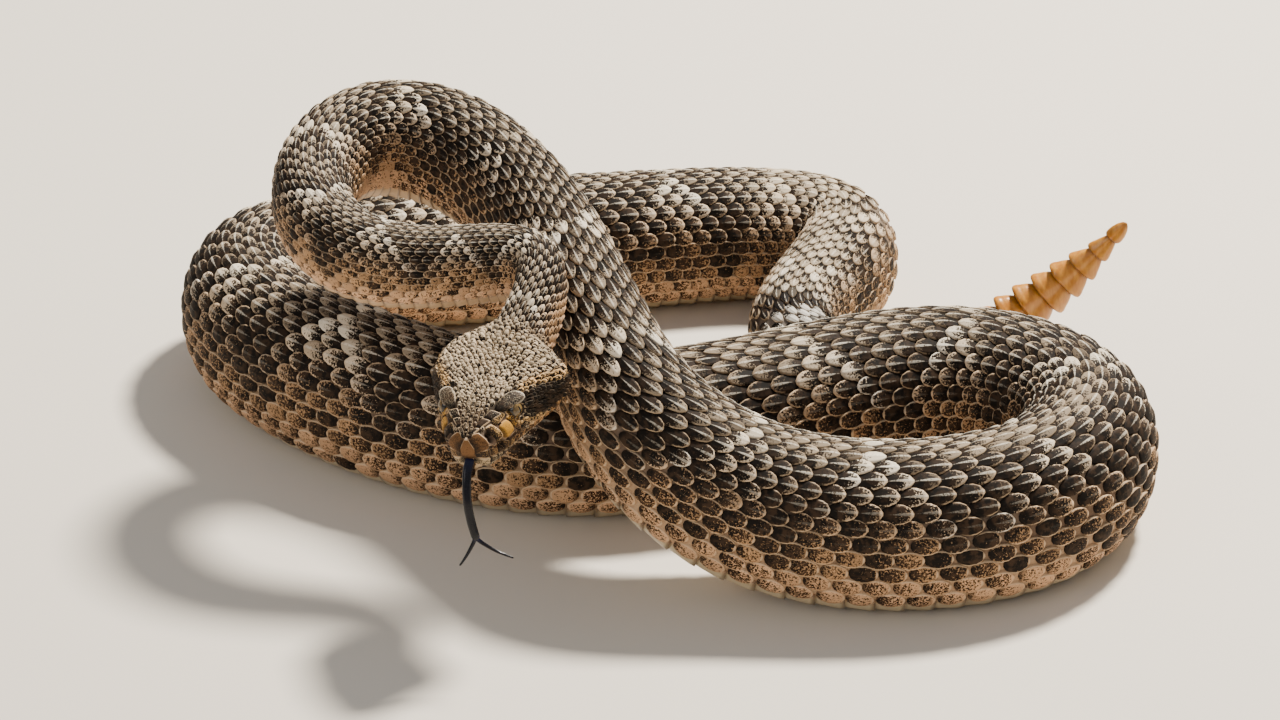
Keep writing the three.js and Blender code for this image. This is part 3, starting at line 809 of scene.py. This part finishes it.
def place_skin(i, j):
    """The skin's corner in column i and ring j, with the mouth as a fold and both ends drawn shut."""
    ring = np.minimum(j, len(RINGS) - 1)
    s, mouth = RINGS[ring], RING_MOUTH[ring]
    k = np.where(i <= HALF_ROUND, i, 2 * HALF_ROUND - i)
    side = np.where(i <= HALF_ROUND, 1, -1)
    turn = np.where(k < len(UPPER), mouth * TURN_SHARES[k], mouth + (180 - mouth) * TURN_SHARES[k])
    back = s + HEAD_LENGTH
    open_here = falling(back, MOUTH_CORNER - 2, MOUTH_CORNER + 2)
    fold = np.exp(-((turn - mouth) / FOLD_WIDTH) ** 2) * open_here
    jaw = rising(turn, mouth, mouth + 3) * open_here
    depth = -SKIN_DEPTH + 0.25 * (s < 0) - 1.1 * fold - 0.5 * jaw
    points = skin(s, turn * side, depth, floor=FLOOR_GAP)
    points = np.where((j == len(RINGS))[:, None], station(s)[0], points)
    # How deep each point lies in a nostril or pit sets the shade painted there.
    points, painted_shade = hollowed(points)
    face = rising(turn, 50, 62) * falling(back, 12, 18)
    between = over(BETWEEN, FLANK_BETWEEN, rising(turn, 74, 116))
    # Painted shade: the skin is darkened in the mouth's fold, and between the small scales on the head and
    # the top of the neck, outside the face plates.
    grain_gap_shade = 0.75 * falling(s, -10, 60) * falling(turn, 100, 125) * (1 - face)
    return points, {"tone": 0.2 * tone_at(s, turn * side)[0] + 0.8 * between,
                    "painted_shade": np.maximum(np.maximum(painted_shade, fold * 0.9), grain_gap_shade)}


flesh = ["head", "lower_jaw", "neck", "tail"] + [f"body_{i}" for i in range(1, 13)]
settle(sheet_mesh("skin", place_skin, 2 * HALF_ROUND, len(RINGS)), soft, flesh)

# ---- Scales of the body ----

ROWS = 11
ROW_EDGE = 131.0
ROW_TURNS = [ROW_EDGE * t * (0.8 + 0.2 * t) for t in np.arange(ROWS + 1.5) / ROWS]
SCALE_MARKS = [0, 0.07, 0.22, 0.45, 0.69, 0.88, 1]
KEELED = leaf([-1, -0.65, -0.2, 0, 0.2, 0.65, 1], SCALE_MARKS)
# Half widths and heights from root to tip, on the back and on the lowest rows.
SHAPES = ((SCALE_MARKS, [0.36, 0.6, 0.86, 1.0, 0.91, 0.62, 0.14]),
          (SCALE_MARKS, [0.2, 0.54, 0.84, 1.0, 0.92, 0.65, 0.15]))
RISES = ((SCALE_MARKS, [0.0, 0.2, 0.48, 0.82, 1.03, 1.1, 0.95]),
         (SCALE_MARKS, [0.35, 0.54, 0.76, 0.92, 0.97, 0.93, 0.76]))
KEEL_HEIGHT = 0.41


def row_places(start, end):
    """Distance, angle and the gap to the next row for every scale between two distances from the head."""
    places = []
    for row in range(-ROWS, ROWS + 1):
        here = np.interp(COLUMN_NUMBERS + 0.5 * (row % 2), COLUMN_NUMBERS, COLUMNS)
        here = here[(here >= start) & (here < end) & (here < RATTLE_START - 1)]
        gap = (ROW_TURNS[abs(row) + 1] - ROW_TURNS[max(abs(row) - 1, 0)]) / (2 if row else 1)
        places += [(s, math.copysign(ROW_TURNS[abs(row)], row), gap) for s in here]
    return np.array(places).T


def body_speckle(s, turn, low, near):
    """How much dark speckling scales carry. It thins on the neck, the tail and the lowest rows, and grows on
    the flanks of the raised loop as painted shade.
    """
    speckle = np.interp(turn, [0, 30, 50, 85, 112, 128], [0.7, 1.3, 1.4, 0.55, 0.15, 0.05]) - 0.15 * near
    speckle -= 0.4 * falling(s, 150, 205)
    speckle -= 0.9 * rising(s, 1015, 1050) * (1 - 0.6 * low)
    speckle -= (0.5 - 0.4 * low) * rising(s, 590, 640) * falling(s, 790, 850)
    # Painted shade: more dark speckling on the flanks of the raised loop, which lie in its shade.
    speckle += 0.4 * rising(s, 160, 195) * falling(s, 270, 310) * rising(turn, 50, 75)
    front = rising(s, 320, 350) * falling(s, 480, 540)
    top = falling(turn, 12, 26)
    return speckle + front * (0.65 * (1 - top) * falling(turn, 44, 62) - 0.7 * top)


def body_scales(name, start, end):
    """All rows of back and flank scales between two distances from the head."""
    s, degrees, gap = row_places(start, end)
    s = s + draw.normal(0, 0.02, len(s)) * pitch_at(s)
    degrees = degrees + draw.normal(0, 0.25, len(s))
    turn = np.abs(degrees)
    low = rising(turn, 24, 78)
    near = falling(s, 150, 215) * rising(turn, 68, 112)
    spacing = np.linalg.norm(skin(s, degrees + gap / 2) - skin(s, degrees - gap / 2), axis=-1)
    loose = low * rising(s, 120, 300)
    length = pitch_at(s) * (1.34 - 0.22 * low - 0.06 * loose) * draw.uniform(0.95, 1.04, len(s))
    width = spacing * (1.18 + 0.04 * low) * draw.uniform(0.95, 1.04, len(s))
    ridged = np.interp(turn, [0, 35, 65, 95, 128], [1.0, 1.0, 0.5, 0.12, 0.0])
    keel = KEEL_HEIGHT * ridged * np.clip(pitch_at(s) / 6.5, 0.5, 1)
    rim = np.interp(turn, [0, 40, 80], [0.3, 0.55, 1.0]) * (1 - 0.4 * near)
    coat(name, KEELED, s, degrees, length, width, SHAPES, RISES, keel, dorsal, (start, end),
         rim=rim, speckle=body_speckle(s, turn, low, near), share=low, ridged=ridged)


for name, start, end in (("neck", 0, 140), ("loop", 140, 306), ("front_coil", 306, 570),
                         ("left_coil", 570, 836), ("rear_coil", 836, 1100), ("tail", 1100, RATTLE_START)):
    body_scales(f"scales_{name}", start, end)

# ---- Belly plates ----

BELLY_PLATE = leaf(list(np.linspace(-1, 1, 13)), [0, 0.3, 0.6, 0.85, 1])
BELLY_HALF = 48
BELLY_RISE = ([0, 0.4, 0.9, 1], [-0.75, -0.35, 0.1, 0.05])


def belly_plates():
    """One broad plate for each column of scales, with its free edge to the rear."""
    s = COLUMNS[COLUMNS < RATTLE_START - 3]
    s = s + 0.5 * pitch_at(s)
    across, along, foot = (part[None, :] for part in BELLY_PLATE[0].T)
    y = (along - 0.5) * (pitch_at(s) * 1.16)[:, None]
    curve = 1 - 0.12 * across ** 2 * np.sign(along - 0.5)
    turn = 180 + across * BELLY_HALF + 0 * y
    lift = np.where(foot > 0.5, -1.1, np.interp(along, *BELLY_RISE) + 0 * y)
    points = skin(s[:, None] + y * curve, turn, lift)
    chance = draw.random(len(s))
    tone = body_tone(s[:, None] + 0 * y, turn)[0] * (0.9 + 0.2 * chance)[:, None, None]
    patches = unwrapped(s, np.full(len(s), 180.0), 0, RATTLE_START)
    values = {"tone": tone, "lie": lie(BELLY_PLATE[0], chance)}
    settle(join_leaves("belly_plates", BELLY_PLATE, points, values, patches), belly)


belly_plates()

# ---- Head plates ----

ROUNDED = np.sin(np.linspace(-1, 1, 9) * math.pi / 2)
PLATE = leaf(list(ROUNDED), list((ROUNDED + 1) / 2))
PLATE_ACROSS, PLATE_ALONG, PLATE_FOOT = PLATE[0].T
EYE_RING = (2.35, 3.6)
LIPS_FROM = -0.38
LIPS_TO = 36.0
LIP_COUNT = 15
LIP_GAP = 0.07


def side_of(corners):
    """Corners given as distance and height become distance and angle."""
    return [(back, float(angle_at(back, up))) for back, up in corners]


def round_eye(start, end):
    """A plate of the ring round the eye, between two angles from the front."""
    near, far = EYE_RING
    return side_of([(EYE["back"] - radius * math.cos(math.radians(turn)),
                     EYE["up"] + radius * math.sin(math.radians(turn)))
                    for radius, turn in ((near, start), (far, start), (far, end), (near, end))])


def lip_plates(near, far):
    """Plates along the mouth, between two heights over its line. The upper row is taller in front."""
    edges = LIPS_FROM + (LIPS_TO - LIPS_FROM) * np.linspace(0, 1, LIP_COUNT + 1) ** 1.04
    row = []
    for a, b in zip(edges[:-1] + LIP_GAP, edges[1:] - LIP_GAP):
        tall = 1 + 0.25 * (1 - abs((a + b) / 2 - 8) / 30) if near > 0 else 1
        corners = ((a, near), (a, far), (b, far), (b, near))
        row.append(side_of([(x, mouth_level(x) + up * tall) for x, up in corners]))
    return row


# Each plate of one side: corners, lift, roundness, colour, rim, specks and how much its outer edge stands up.
# The plates given by height come first, then those given by their angle from the spine.
BY_HEIGHT = [
    ([(4.4, -0.2), (4.7, 4.8), (7.0, 5.0), (7.0, 0.4)], 0.45, 0.25, CHEEK_PALE, 0.9, 0.6, 0.0),
    ([(7.3, -1.5), (7.1, 3.4), (10.9, 4.3), (11.4, -0.9)], 0.65, 0.6, OCHRE, 0.25, -0.7, 0.0),
    ([(7.3, 3.9), (7.3, 5.2), (12.0, 6.2), (12.2, 4.8)], 0.4, 0.5, CHEEK_PALE, 0.8, 0.6, 0.0),
    ([(11.5, -0.4), (11.1, 4.2), (12.6, 4.6), (13.1, 0.6)], 0.45, 0.6, OCHRE, 0.5, 0.45, 0.0),
    ([(8.3, -3.3), (8.0, -1.9), (12.0, -1.2), (12.6, -2.9)], 0.4, 0.6, PLATE_BROWN, 0.6, 0.8, 0.0),
    ([(2.5, -2.2), (2.6, -0.6), (4.3, -0.3), (4.3, -2.4)], 0.35, 0.5, PLATE_BROWN, 0.7, 0.7, 0.0)]
FACE = [([(-0.4, 112), (0.1, 10), (2.9, 50), (1.5, 90)], 0.5, 0.06, PLATE_BROWN, 1.0, -0.55, 0.0)]
FACE += [(side_of(corners), *rest) for corners, *rest in BY_HEIGHT]
FACE += [
    ([(0.7, 12), (0.5, 34), (4.2, 49.5), (4.0, 34)], 0.5, 0.3, CROWN, 1.0, 1.0, 0.3),
    ([(4.3, 35), (4.4, 50), (7.8, 57.5), (7.7, 42)], 0.6, 0.3, CROWN, 1.0, 1.0, 0.4),
    ([(7.9, 42.5), (8.0, 58), (11.3, 63), (11.2, 47)], 0.7, 0.3, CROWN, 1.0, 0.9, 0.5),
    ([(12.0, 46), (11.2, 64), (20.4, 72), (20.9, 54)], 1.1, 0.95, BROW, 0.3, 0.5, 1.5)]
FACE += [(round_eye(a, a + 27), 0.4, 0.6, TEMPLE_STRIPE if a < -60 else OCHRE, 0.7, 0.5, 0.0)
         for a in (-30, -60, -90, -120, -150, -180, -210, 0)]


def lip_colour(back):
    """Speckled brown in front, peach under the cheek stripe."""
    tone = over(LIP, PLATE_BROWN, 0.5 * falling(back, 4, 9))
    return over(tone, LIP_PEACH, 0.8 * (rising(back, 8, 12) * falling(back, 26, 36)))


def plate_points(rows, side):
    """Bends the plate pattern over the corners of each row, on one side of the head."""
    u, v = PLATE_ACROSS, PLATE_ALONG * 2 - 1
    rim = np.maximum(np.abs(u), np.abs(v))
    made = []
    for corners, lift, bend, _, _, _, visor in rows:
        a = (u * np.sqrt(1 - bend * v ** 2 / 2) + 1) / 2
        b = (v * np.sqrt(1 - bend * u ** 2 / 2) + 1) / 2
        weights = ((1 - a) * (1 - b), a * (1 - b), a * b, (1 - a) * b)
        where = sum(np.array(corner, float) * weight[:, None] for corner, weight in zip(corners, weights))
        raised = -0.45 + (lift + 0.2) * (1 - 0.55 * rim ** 6) + visor * ((u + 1) / 2) ** 1.5
        height = np.where(PLATE_FOOT > 0.5, -1.3, raised)
        made.append(skin(where[:, 0] - HEAD_LENGTH, where[:, 1] * side, height))
    return made


def front_plate(low, high, widths, forward):
    """A plate on the front of the snout, from one height to another, with its half widths."""
    u, v = PLATE_ACROSS, PLATE_ALONG
    x = u * np.interp(v, *widths)
    y = low + (high - low) * v
    rim = np.maximum(np.abs(u), np.abs(2 * v - 1))
    out = forward * (1 - 0.35 * rim ** 6) - 0.055 * x ** 2 - 0.02 * (y - low) ** 2
    out = np.where(PLATE_FOOT > 0.5, np.minimum(out - 0.5, -0.6), out)
    centre, along, side, up, _, _ = station(np.array([-HEAD_LENGTH]))
    return centre + side * x[:, None] + up * y[:, None] - along * out[:, None]


def plate_coat(name, rows, front, tone, rim, speck, degrees):
    """Joins the plates of both sides, and the one in front, into one coat."""
    points, tones, traits, roots, brows = [], [], [], [], []
    for side in (1, -1):
        points += plate_points(rows, side)
        for corners, _, _, colour, *trait, visor in rows:
            tones.append(colour * draw.uniform(0.88, 1.12))
            traits.append((*trait, 0.0))
            brows.append(float(visor > 1))
            middle = np.mean(np.array(corners, float), axis=0)
            roots.append((middle[0] - HEAD_LENGTH, middle[1] * side))
    # How deep each point lies in a nostril or pit sets the shade painted there.
    points, painted_shade = hollowed(np.array(points + [front]))
    tones, traits = np.array(tones + [tone]), np.array(traits + [(rim, speck, 0.0)])
    roots, brows = np.array(roots + [(0.4 - HEAD_LENGTH, degrees)]), np.array(brows + [0.0])
    values = {
        "tone": np.broadcast_to(tones[:, None, :], points.shape),
        "lie": lie(PLATE[0], draw.random(len(tones))),
        "trait": np.broadcast_to(traits[:, None, :], points.shape),
        "pale": 0.6 * brows[:, None] * rising(PLATE_ALONG, 0.4, 0.9)[None, :],
        "painted_shade": painted_shade,
    }
    patches = unwrapped(roots[:, 0], roots[:, 1], -HEAD_LENGTH, 0)
    settle(join_leaves(name, PLATE, points, values, patches), plates)


rostral = front_plate(-3.1, 4.2, ([0, 0.3, 0.6, 0.9, 1], [2.4, 3.1, 2.1, 0.8, 0.3]), 1.0)
mental = front_plate(-7.6, -4.4, ([0, 0.4, 1], [0.7, 1.7, 2.3]), 0.5)
upper_rows = FACE + [(c, 0.4, 0.35, lip_colour(c[0][0]), 0.6, 0.45, 0.0) for c in lip_plates(0.15, 2.6)]
jaw_rows = [(c, 0.05, 0.35, lip_colour(c[0][0]) * 0.4 + BELLY * 0.6, 0.6, 0.3, 0.0)
            for c in lip_plates(-0.5, -2.9)]
plate_coat("head_plates", upper_rows, rostral, PLATE_BROWN, 1.0, -0.8, 0)
plate_coat("jaw_plates", jaw_rows, mental, LIP, 0.7, 0.5, 180)

# ---- Small scales of the head ----

GRAIN = leaf([-1, -0.5, 0, 0.5, 1], [0, 0.3, 0.6, 0.85, 1])
GRAIN_SHAPES = (([0, 0.25, 0.55, 0.85, 1], [0.5, 0.92, 1.0, 0.66, 0.25]),) * 2
GRAIN_RISES = (([0, 0.3, 0.7, 0.9, 1], [0.0, 2.0, 4.8, 5.2, 4.2]),) * 2
THROAT_RISES = (([0, 0.3, 0.7, 1], [0.0, 1.2, 2.2, 2.0]),) * 2
# Widths of the small scales, by distance behind the snout.
CROWN_SIZE = ([0, 8, 20, 34, 48], [1.35, 1.45, 1.6, 1.9, 2.0])
THROAT_SIZE = ([0, 10, 48], [1.6, 2.2, 2.6])
NECK_EDGE = 47.9


def inside_any(back, degrees, quads, margin):
    """Whether places lie inside any of the four-cornered plates, grown by a margin."""
    found = np.zeros(len(back), bool)
    for corners in quads:
        c = np.array(corners, float)
        c = c.mean(0) + (c - c.mean(0)) * (1 + margin)
        signs = np.array([(b[0] - a[0]) * (degrees - a[1]) - (b[1] - a[1]) * (back - a[0])
                          for a, b in zip(c, np.roll(c, -1, axis=0))])
        found |= np.all(signs > 0, 0) | np.all(signs < 0, 0)
    return found


def head_rows(start, end, spacing, edges, size, loose=0.06):
    """Staggered rows of places across the head, closer where the scales are small."""
    backs, turns = [], []
    back, row = start, 0
    while back < end:
        width = float(np.interp(back, *size))
        fine = np.linspace(*edges(min(back, NECK_EDGE)), 120)
        run = run_length(skin(back - HEAD_LENGTH, fine))
        number = max(int(run[-1] / width), 1)
        marks = (np.arange(number) + (0.25 if row % 2 else 0.75)) / number * run[-1]
        turns.append(np.interp(marks, run, fine))
        backs.append(np.full(number, back))
        back += width * spacing
        row += 1
    backs, turns = np.concatenate(backs), np.concatenate(turns)
    backs = backs + draw.normal(0, loose, len(backs))
    return backs, turns + draw.normal(0, loose, len(turns)) * 4


def above_lips(back):
    """The crown's scales reach down to the lip plates on both sides."""
    level = mouth_level(back) + 2.7 * falling(back, 33, 38) - 3.0 * rising(back, 36, 46)
    edge = float(angle_at(back, level))
    return -edge, edge


def under_lips(back):
    """The throat's scales reach from one row of lip plates to the other, under the head."""
    edge = float(angle_at(back, mouth_level(back) - 3.0 - 1.2 * rising(back, 34, 40)))
    return edge, 360 - edge


def crown_scales():
    back, turn = head_rows(1.0, 48.6, 0.66, above_lips, CROWN_SIZE, loose=0.17)
    eye_up = section_point(head_form(back), turn, 0)[1]
    near_eye = np.hypot(back - EYE["back"], eye_up - EYE["up"]) < 3.5
    keep = ~inside_any(back, np.abs(turn), [row[0] for row in FACE], 0.1) & ~(near_eye & (np.abs(turn) > 50))
    for place, _, radius, _ in HOLLOWS:
        keep &= np.linalg.norm(skin(back - HEAD_LENGTH, turn) - place, axis=-1) > radius + 0.9
    keep &= ~((back < 1.6) & (np.abs(turn) > 30))
    back, turn = back[keep], turn[keep]
    width = np.interp(back, *CROWN_SIZE) * draw.uniform(0.82, 1.12, len(back))
    length = width * (1.2 + 0.3 * rising(back, 30, 46)) * draw.uniform(0.9, 1.15, len(back))
    keel = np.interp(np.abs(turn), [0, 55, 80], [0.3, 0.26, 0.05]) * rising(back, 8, 16)
    lean = draw.normal(0, 0.18, len(back))
    coat("head_scales", GRAIN, back - HEAD_LENGTH, turn, length, width * 0.95, GRAIN_SHAPES, GRAIN_RISES,
         keel, granular, (-HEAD_LENGTH, 1), sunk=-0.8, rim=np.interp(back, [8, 14], [1.0, 0.6]),
         speckle=np.interp(back, [8, 16], [0.95, 0.75]), turn=lean, vary=0.6)


def throat_scales():
    back, turn = head_rows(2.2, 48.4, 0.72, under_lips, THROAT_SIZE)
    width = np.interp(back, *THROAT_SIZE) * draw.uniform(0.95, 1.05, len(back))
    coat("throat_scales", GRAIN, back - HEAD_LENGTH, turn, width * 1.5, width * 1.05, GRAIN_SHAPES,
         THROAT_RISES, np.zeros(len(back)), plates, (-HEAD_LENGTH, 1), sunk=-1.15, speckle=0.3)


crown_scales()
throat_scales()

# ---- Eyes ----

def eyeball(name, side):
    """A polished eye. Each point knows where it lies on the iris, for the slit."""
    bm = bmesh.new()
    bmesh.ops.create_uvsphere(bm, u_segments=48, v_segments=24, radius=EYE["radius"])
    mesh = mesh_from(bm, name)
    local = points_of(mesh)
    _, along, out, up, _, _ = (v[0] for v in station(np.array([EYE["back"] - HEAD_LENGTH])))
    gaze = unit(out * side * 0.93 - along * 0.3 + up * 0.12)
    tall = unit(up - gaze * (up @ gaze))
    place = at_head(EYE["back"], EYE["out"] * side, EYE["up"])
    points = place + local[:, :1] * np.cross(tall, gaze) + local[:, 1:2] * tall + local[:, 2:] * gaze
    mesh.vertices.foreach_set("co", (points * MM).reshape(-1))
    give(mesh, "gaze", local / EYE["radius"])
    mesh.shade_smooth()
    return mesh


settle(eyeball("eyeball_left", 1), glassy, ("eye_left",))
settle(eyeball("eyeball_right", -1), glassy, ("eye_right",))

# ---- Tongue ----

# Places from the middle of the lip, on the world's axes.
TONGUE_STEM = [(1.4, 4.6, 1.2), (0, 0, 0), (-0.9, -3.6, -3.4), (-0.9, -6.2, -10.5), (0.2, -7.6, -17.5),
               (2.0, -8.8, -24)]
TONGUE_TIPS = [(-3.4, -11.2, -31.6), (13.6, -11.6, -28.6)]
STEM_RINGS = 60
TIP_RINGS = 36


def smooth_path(points, count):
    """A curve through points, as many as asked for."""
    p = np.array(points, float)
    p = np.concatenate([[2 * p[0] - p[1]], p, [2 * p[-1] - p[-2]]])
    t = np.linspace(0, len(points) - 1 - 1e-9, count)
    i = np.floor(t).astype(int)
    f = (t - i)[:, None]
    a, b, c, d = p[i], p[i + 1], p[i + 2], p[i + 3]
    bend, twist = 2 * a - 5 * b + 4 * c - d, 3 * b - a - 3 * c + d
    return 0.5 * (2 * b + (c - a) * f + bend * f ** 2 + twist * f ** 3)


def strand(name, path, half, flatness, sides=24, groove=0.0):
    """A tapering tube along a path, flattened, drawn shut at both ends."""
    along = unit(np.gradient(path, axis=0))
    out = unit(np.array([1.0, 0, 0]) - along * along[:, :1])
    up = np.cross(along, out)
    last = len(path) - 1

    def place(i, j):
        angle = 2 * math.pi * i / sides
        radius = np.where((j == 0) | (j == last), 0.0, half[j])
        dent = 1 - groove * np.exp(-((angle - math.pi / 2) / 0.4) ** 2)
        points = (path[j] + out[j] * (radius * np.cos(angle))[:, None]
                  + up[j] * (radius * flatness * dent * np.sin(angle))[:, None])
        return points, {"lie": np.stack([np.cos(angle), j / last, 0 * angle], -1)}

    return sheet_mesh(name, place, sides, last)


def tongue():
    """The grooved stem, and two tips that grow out of its end."""
    lip = at_head(0, 0, -3.9)
    half = 1.5 - 0.15 * np.linspace(0, 1, STEM_RINGS)
    half[-4:] *= (0.97, 0.9, 0.75, 0.5)
    parts = [strand("stem", smooth_path(lip + np.array(TONGUE_STEM), STEM_RINGS), half, 0.66, groove=0.2)]
    before, fork = lip + np.array(TONGUE_STEM[-2]), lip + np.array(TONGUE_STEM[-1])
    for tip in TONGUE_TIPS:
        lean = math.copysign(1, tip[0] - 2)
        split, end = fork + (lean * 0.8, 0, 0), lip + np.array(tip)
        root = before * 0.25 + fork * 0.75 + (lean * 0.5, 0, 0)
        path = smooth_path([root, split, (split + end) / 2 - (0, 0, 0.6), end], TIP_RINGS)
        parts.append(strand("tongue tip", path, np.linspace(0.85, 0.3, TIP_RINGS), 0.8, 16))
    bm = bmesh.new()
    for part in parts:
        bm.from_mesh(part)
        bpy.data.meshes.remove(part)
    mesh = mesh_from(bm, "tongue_fork")
    mesh.shade_smooth()
    settle(mesh, wet, ("tongue",))


tongue()

# ---- Rattle ----

# Swell of a lobe and of the end button, from front to rear.
LOBE = ([0, 0.04, 0.1, 0.2, 0.32, 0.43, 0.52, 0.64, 0.8, 0.92, 1],
        [0.74, 0.93, 1.01, 1.03, 1.0, 0.94, 0.91, 0.86, 0.77, 0.68, 0.62])
BUTTON = ([0, 0.05, 0.14, 0.3, 0.45, 0.7, 0.88, 0.96, 1], [0.72, 0.9, 1.0, 0.99, 0.94, 0.74, 0.48, 0.3, 0.12])
LOBE_RINGS = np.linspace(0, 1, 33)
LOBE_SIDES = 56


def rattle_lobe(number):
    """One lobe, grooved along each side, which runs a little into the next. The last one is the button."""
    button = number == len(RATTLE) - 1
    length = BUTTON_LENGTH if button else RATTLE_PITCH + 0.5
    high = RATTLE[number]
    following = high if button else RATTLE[number + 1]
    swell = np.interp(LOBE_RINGS, *(BUTTON if button else LOBE))
    swell = np.convolve(np.pad(swell, 1, mode="edge"), [0.25, 0.5, 0.25], mode="valid")
    start = RATTLE_START + number * RATTLE_PITCH + 0.1
    centre, _, side, up, _, _ = station(start + LOBE_RINGS * (length - 0.2))

    def place(i, j):
        angle = 2 * math.pi * i / LOBE_SIDES
        ring = np.clip(j - 1, 0, len(LOBE_RINGS) - 1)
        along = LOBE_RINGS[ring]
        shut = np.where((j == 0) | (j == len(LOBE_RINGS) + 1), 0.0, 1.0)
        half = (high * (1 - along) + following * along) * swell[ring] * shut
        across = np.exp(-((np.degrees(angle) % 180 - 90) / 17) ** 2)
        ripple = 1 - 0.15 * across + 0.012 * np.sin(angle * 6 + number)
        points = (centre[ring] + side[ring] * (np.sin(angle) * half * RATTLE_FLATNESS * ripple)[:, None]
                  + up[ring] * (np.cos(angle) * half * ripple)[:, None])
        return points, {"lie": np.stack([np.sin(angle), along, 0 * angle + number / 8], -1)}

    mesh = sheet_mesh(f"rattle_lobe_{number + 1}", place, LOBE_SIDES, len(LOBE_RINGS) + 1)
    settle(mesh, horn, (f"rattle_{number + 1}",))


for number in range(len(RATTLE)):
    rattle_lobe(number)

# ---- Floor, light and camera ----

CAMERA_AWAY = 2400
CAMERA_TILT = math.radians(28)


def lamp(name, where, energy, size, colour):
    """A round lamp that looks at the middle of the coil."""
    data = bpy.data.lights.new(name, "AREA")
    data.energy, data.size, data.color, data.shape = energy, size, colour, "DISK"
    made = put(name, data)
    made.location = where
    made.rotation_euler = (Vector((0, 0, 0.04)) - Vector(where)).to_track_quat("-Z", "Y").to_euler()


def studio():
    """A plain pale floor, hard light from behind to the right, and the photograph's view."""
    bm = bmesh.new()
    bmesh.ops.create_grid(bm, x_segments=8, y_segments=8, size=4.0)
    floor = put("floor", mesh_from(bm, "floor"))
    f = Finish("plain pale floor", 0.8, 0.2)
    floor.data.materials.append(f.done(f.mix(f.noise(3, 2), paint("d9d0c3"), paint("e0d8cc"))))

    world = bpy.data.worlds.new("studio air")
    bpy.context.scene.world = world
    world.use_nodes = True
    air = world.node_tree.nodes["Background"].inputs
    air[0].default_value, air[1].default_value = (0.95, 0.97, 1.0, 1), 0.42

    lamp("sun side", (0.62, 0.62, 1.45), 92, 0.28, (1.0, 0.94, 0.84))
    lamp("front fill", (-0.9, -1.3, 0.9), 8, 1.2, (1.0, 0.97, 0.92))

    lens = bpy.data.cameras.new("camera")
    lens.lens, lens.sensor_width = 200, 36
    lens.clip_start, lens.clip_end = 0.05, 30
    camera = put("camera", lens)
    camera.location = (-CENTRE[0] * MM, (-CENTRE[1] - CAMERA_AWAY * math.cos(CAMERA_TILT)) * MM,
                       CAMERA_AWAY * math.sin(CAMERA_TILT) * MM)
    camera.rotation_euler = (math.pi / 2 - CAMERA_TILT, 0, 0)
    bpy.context.scene.camera = camera


studio()
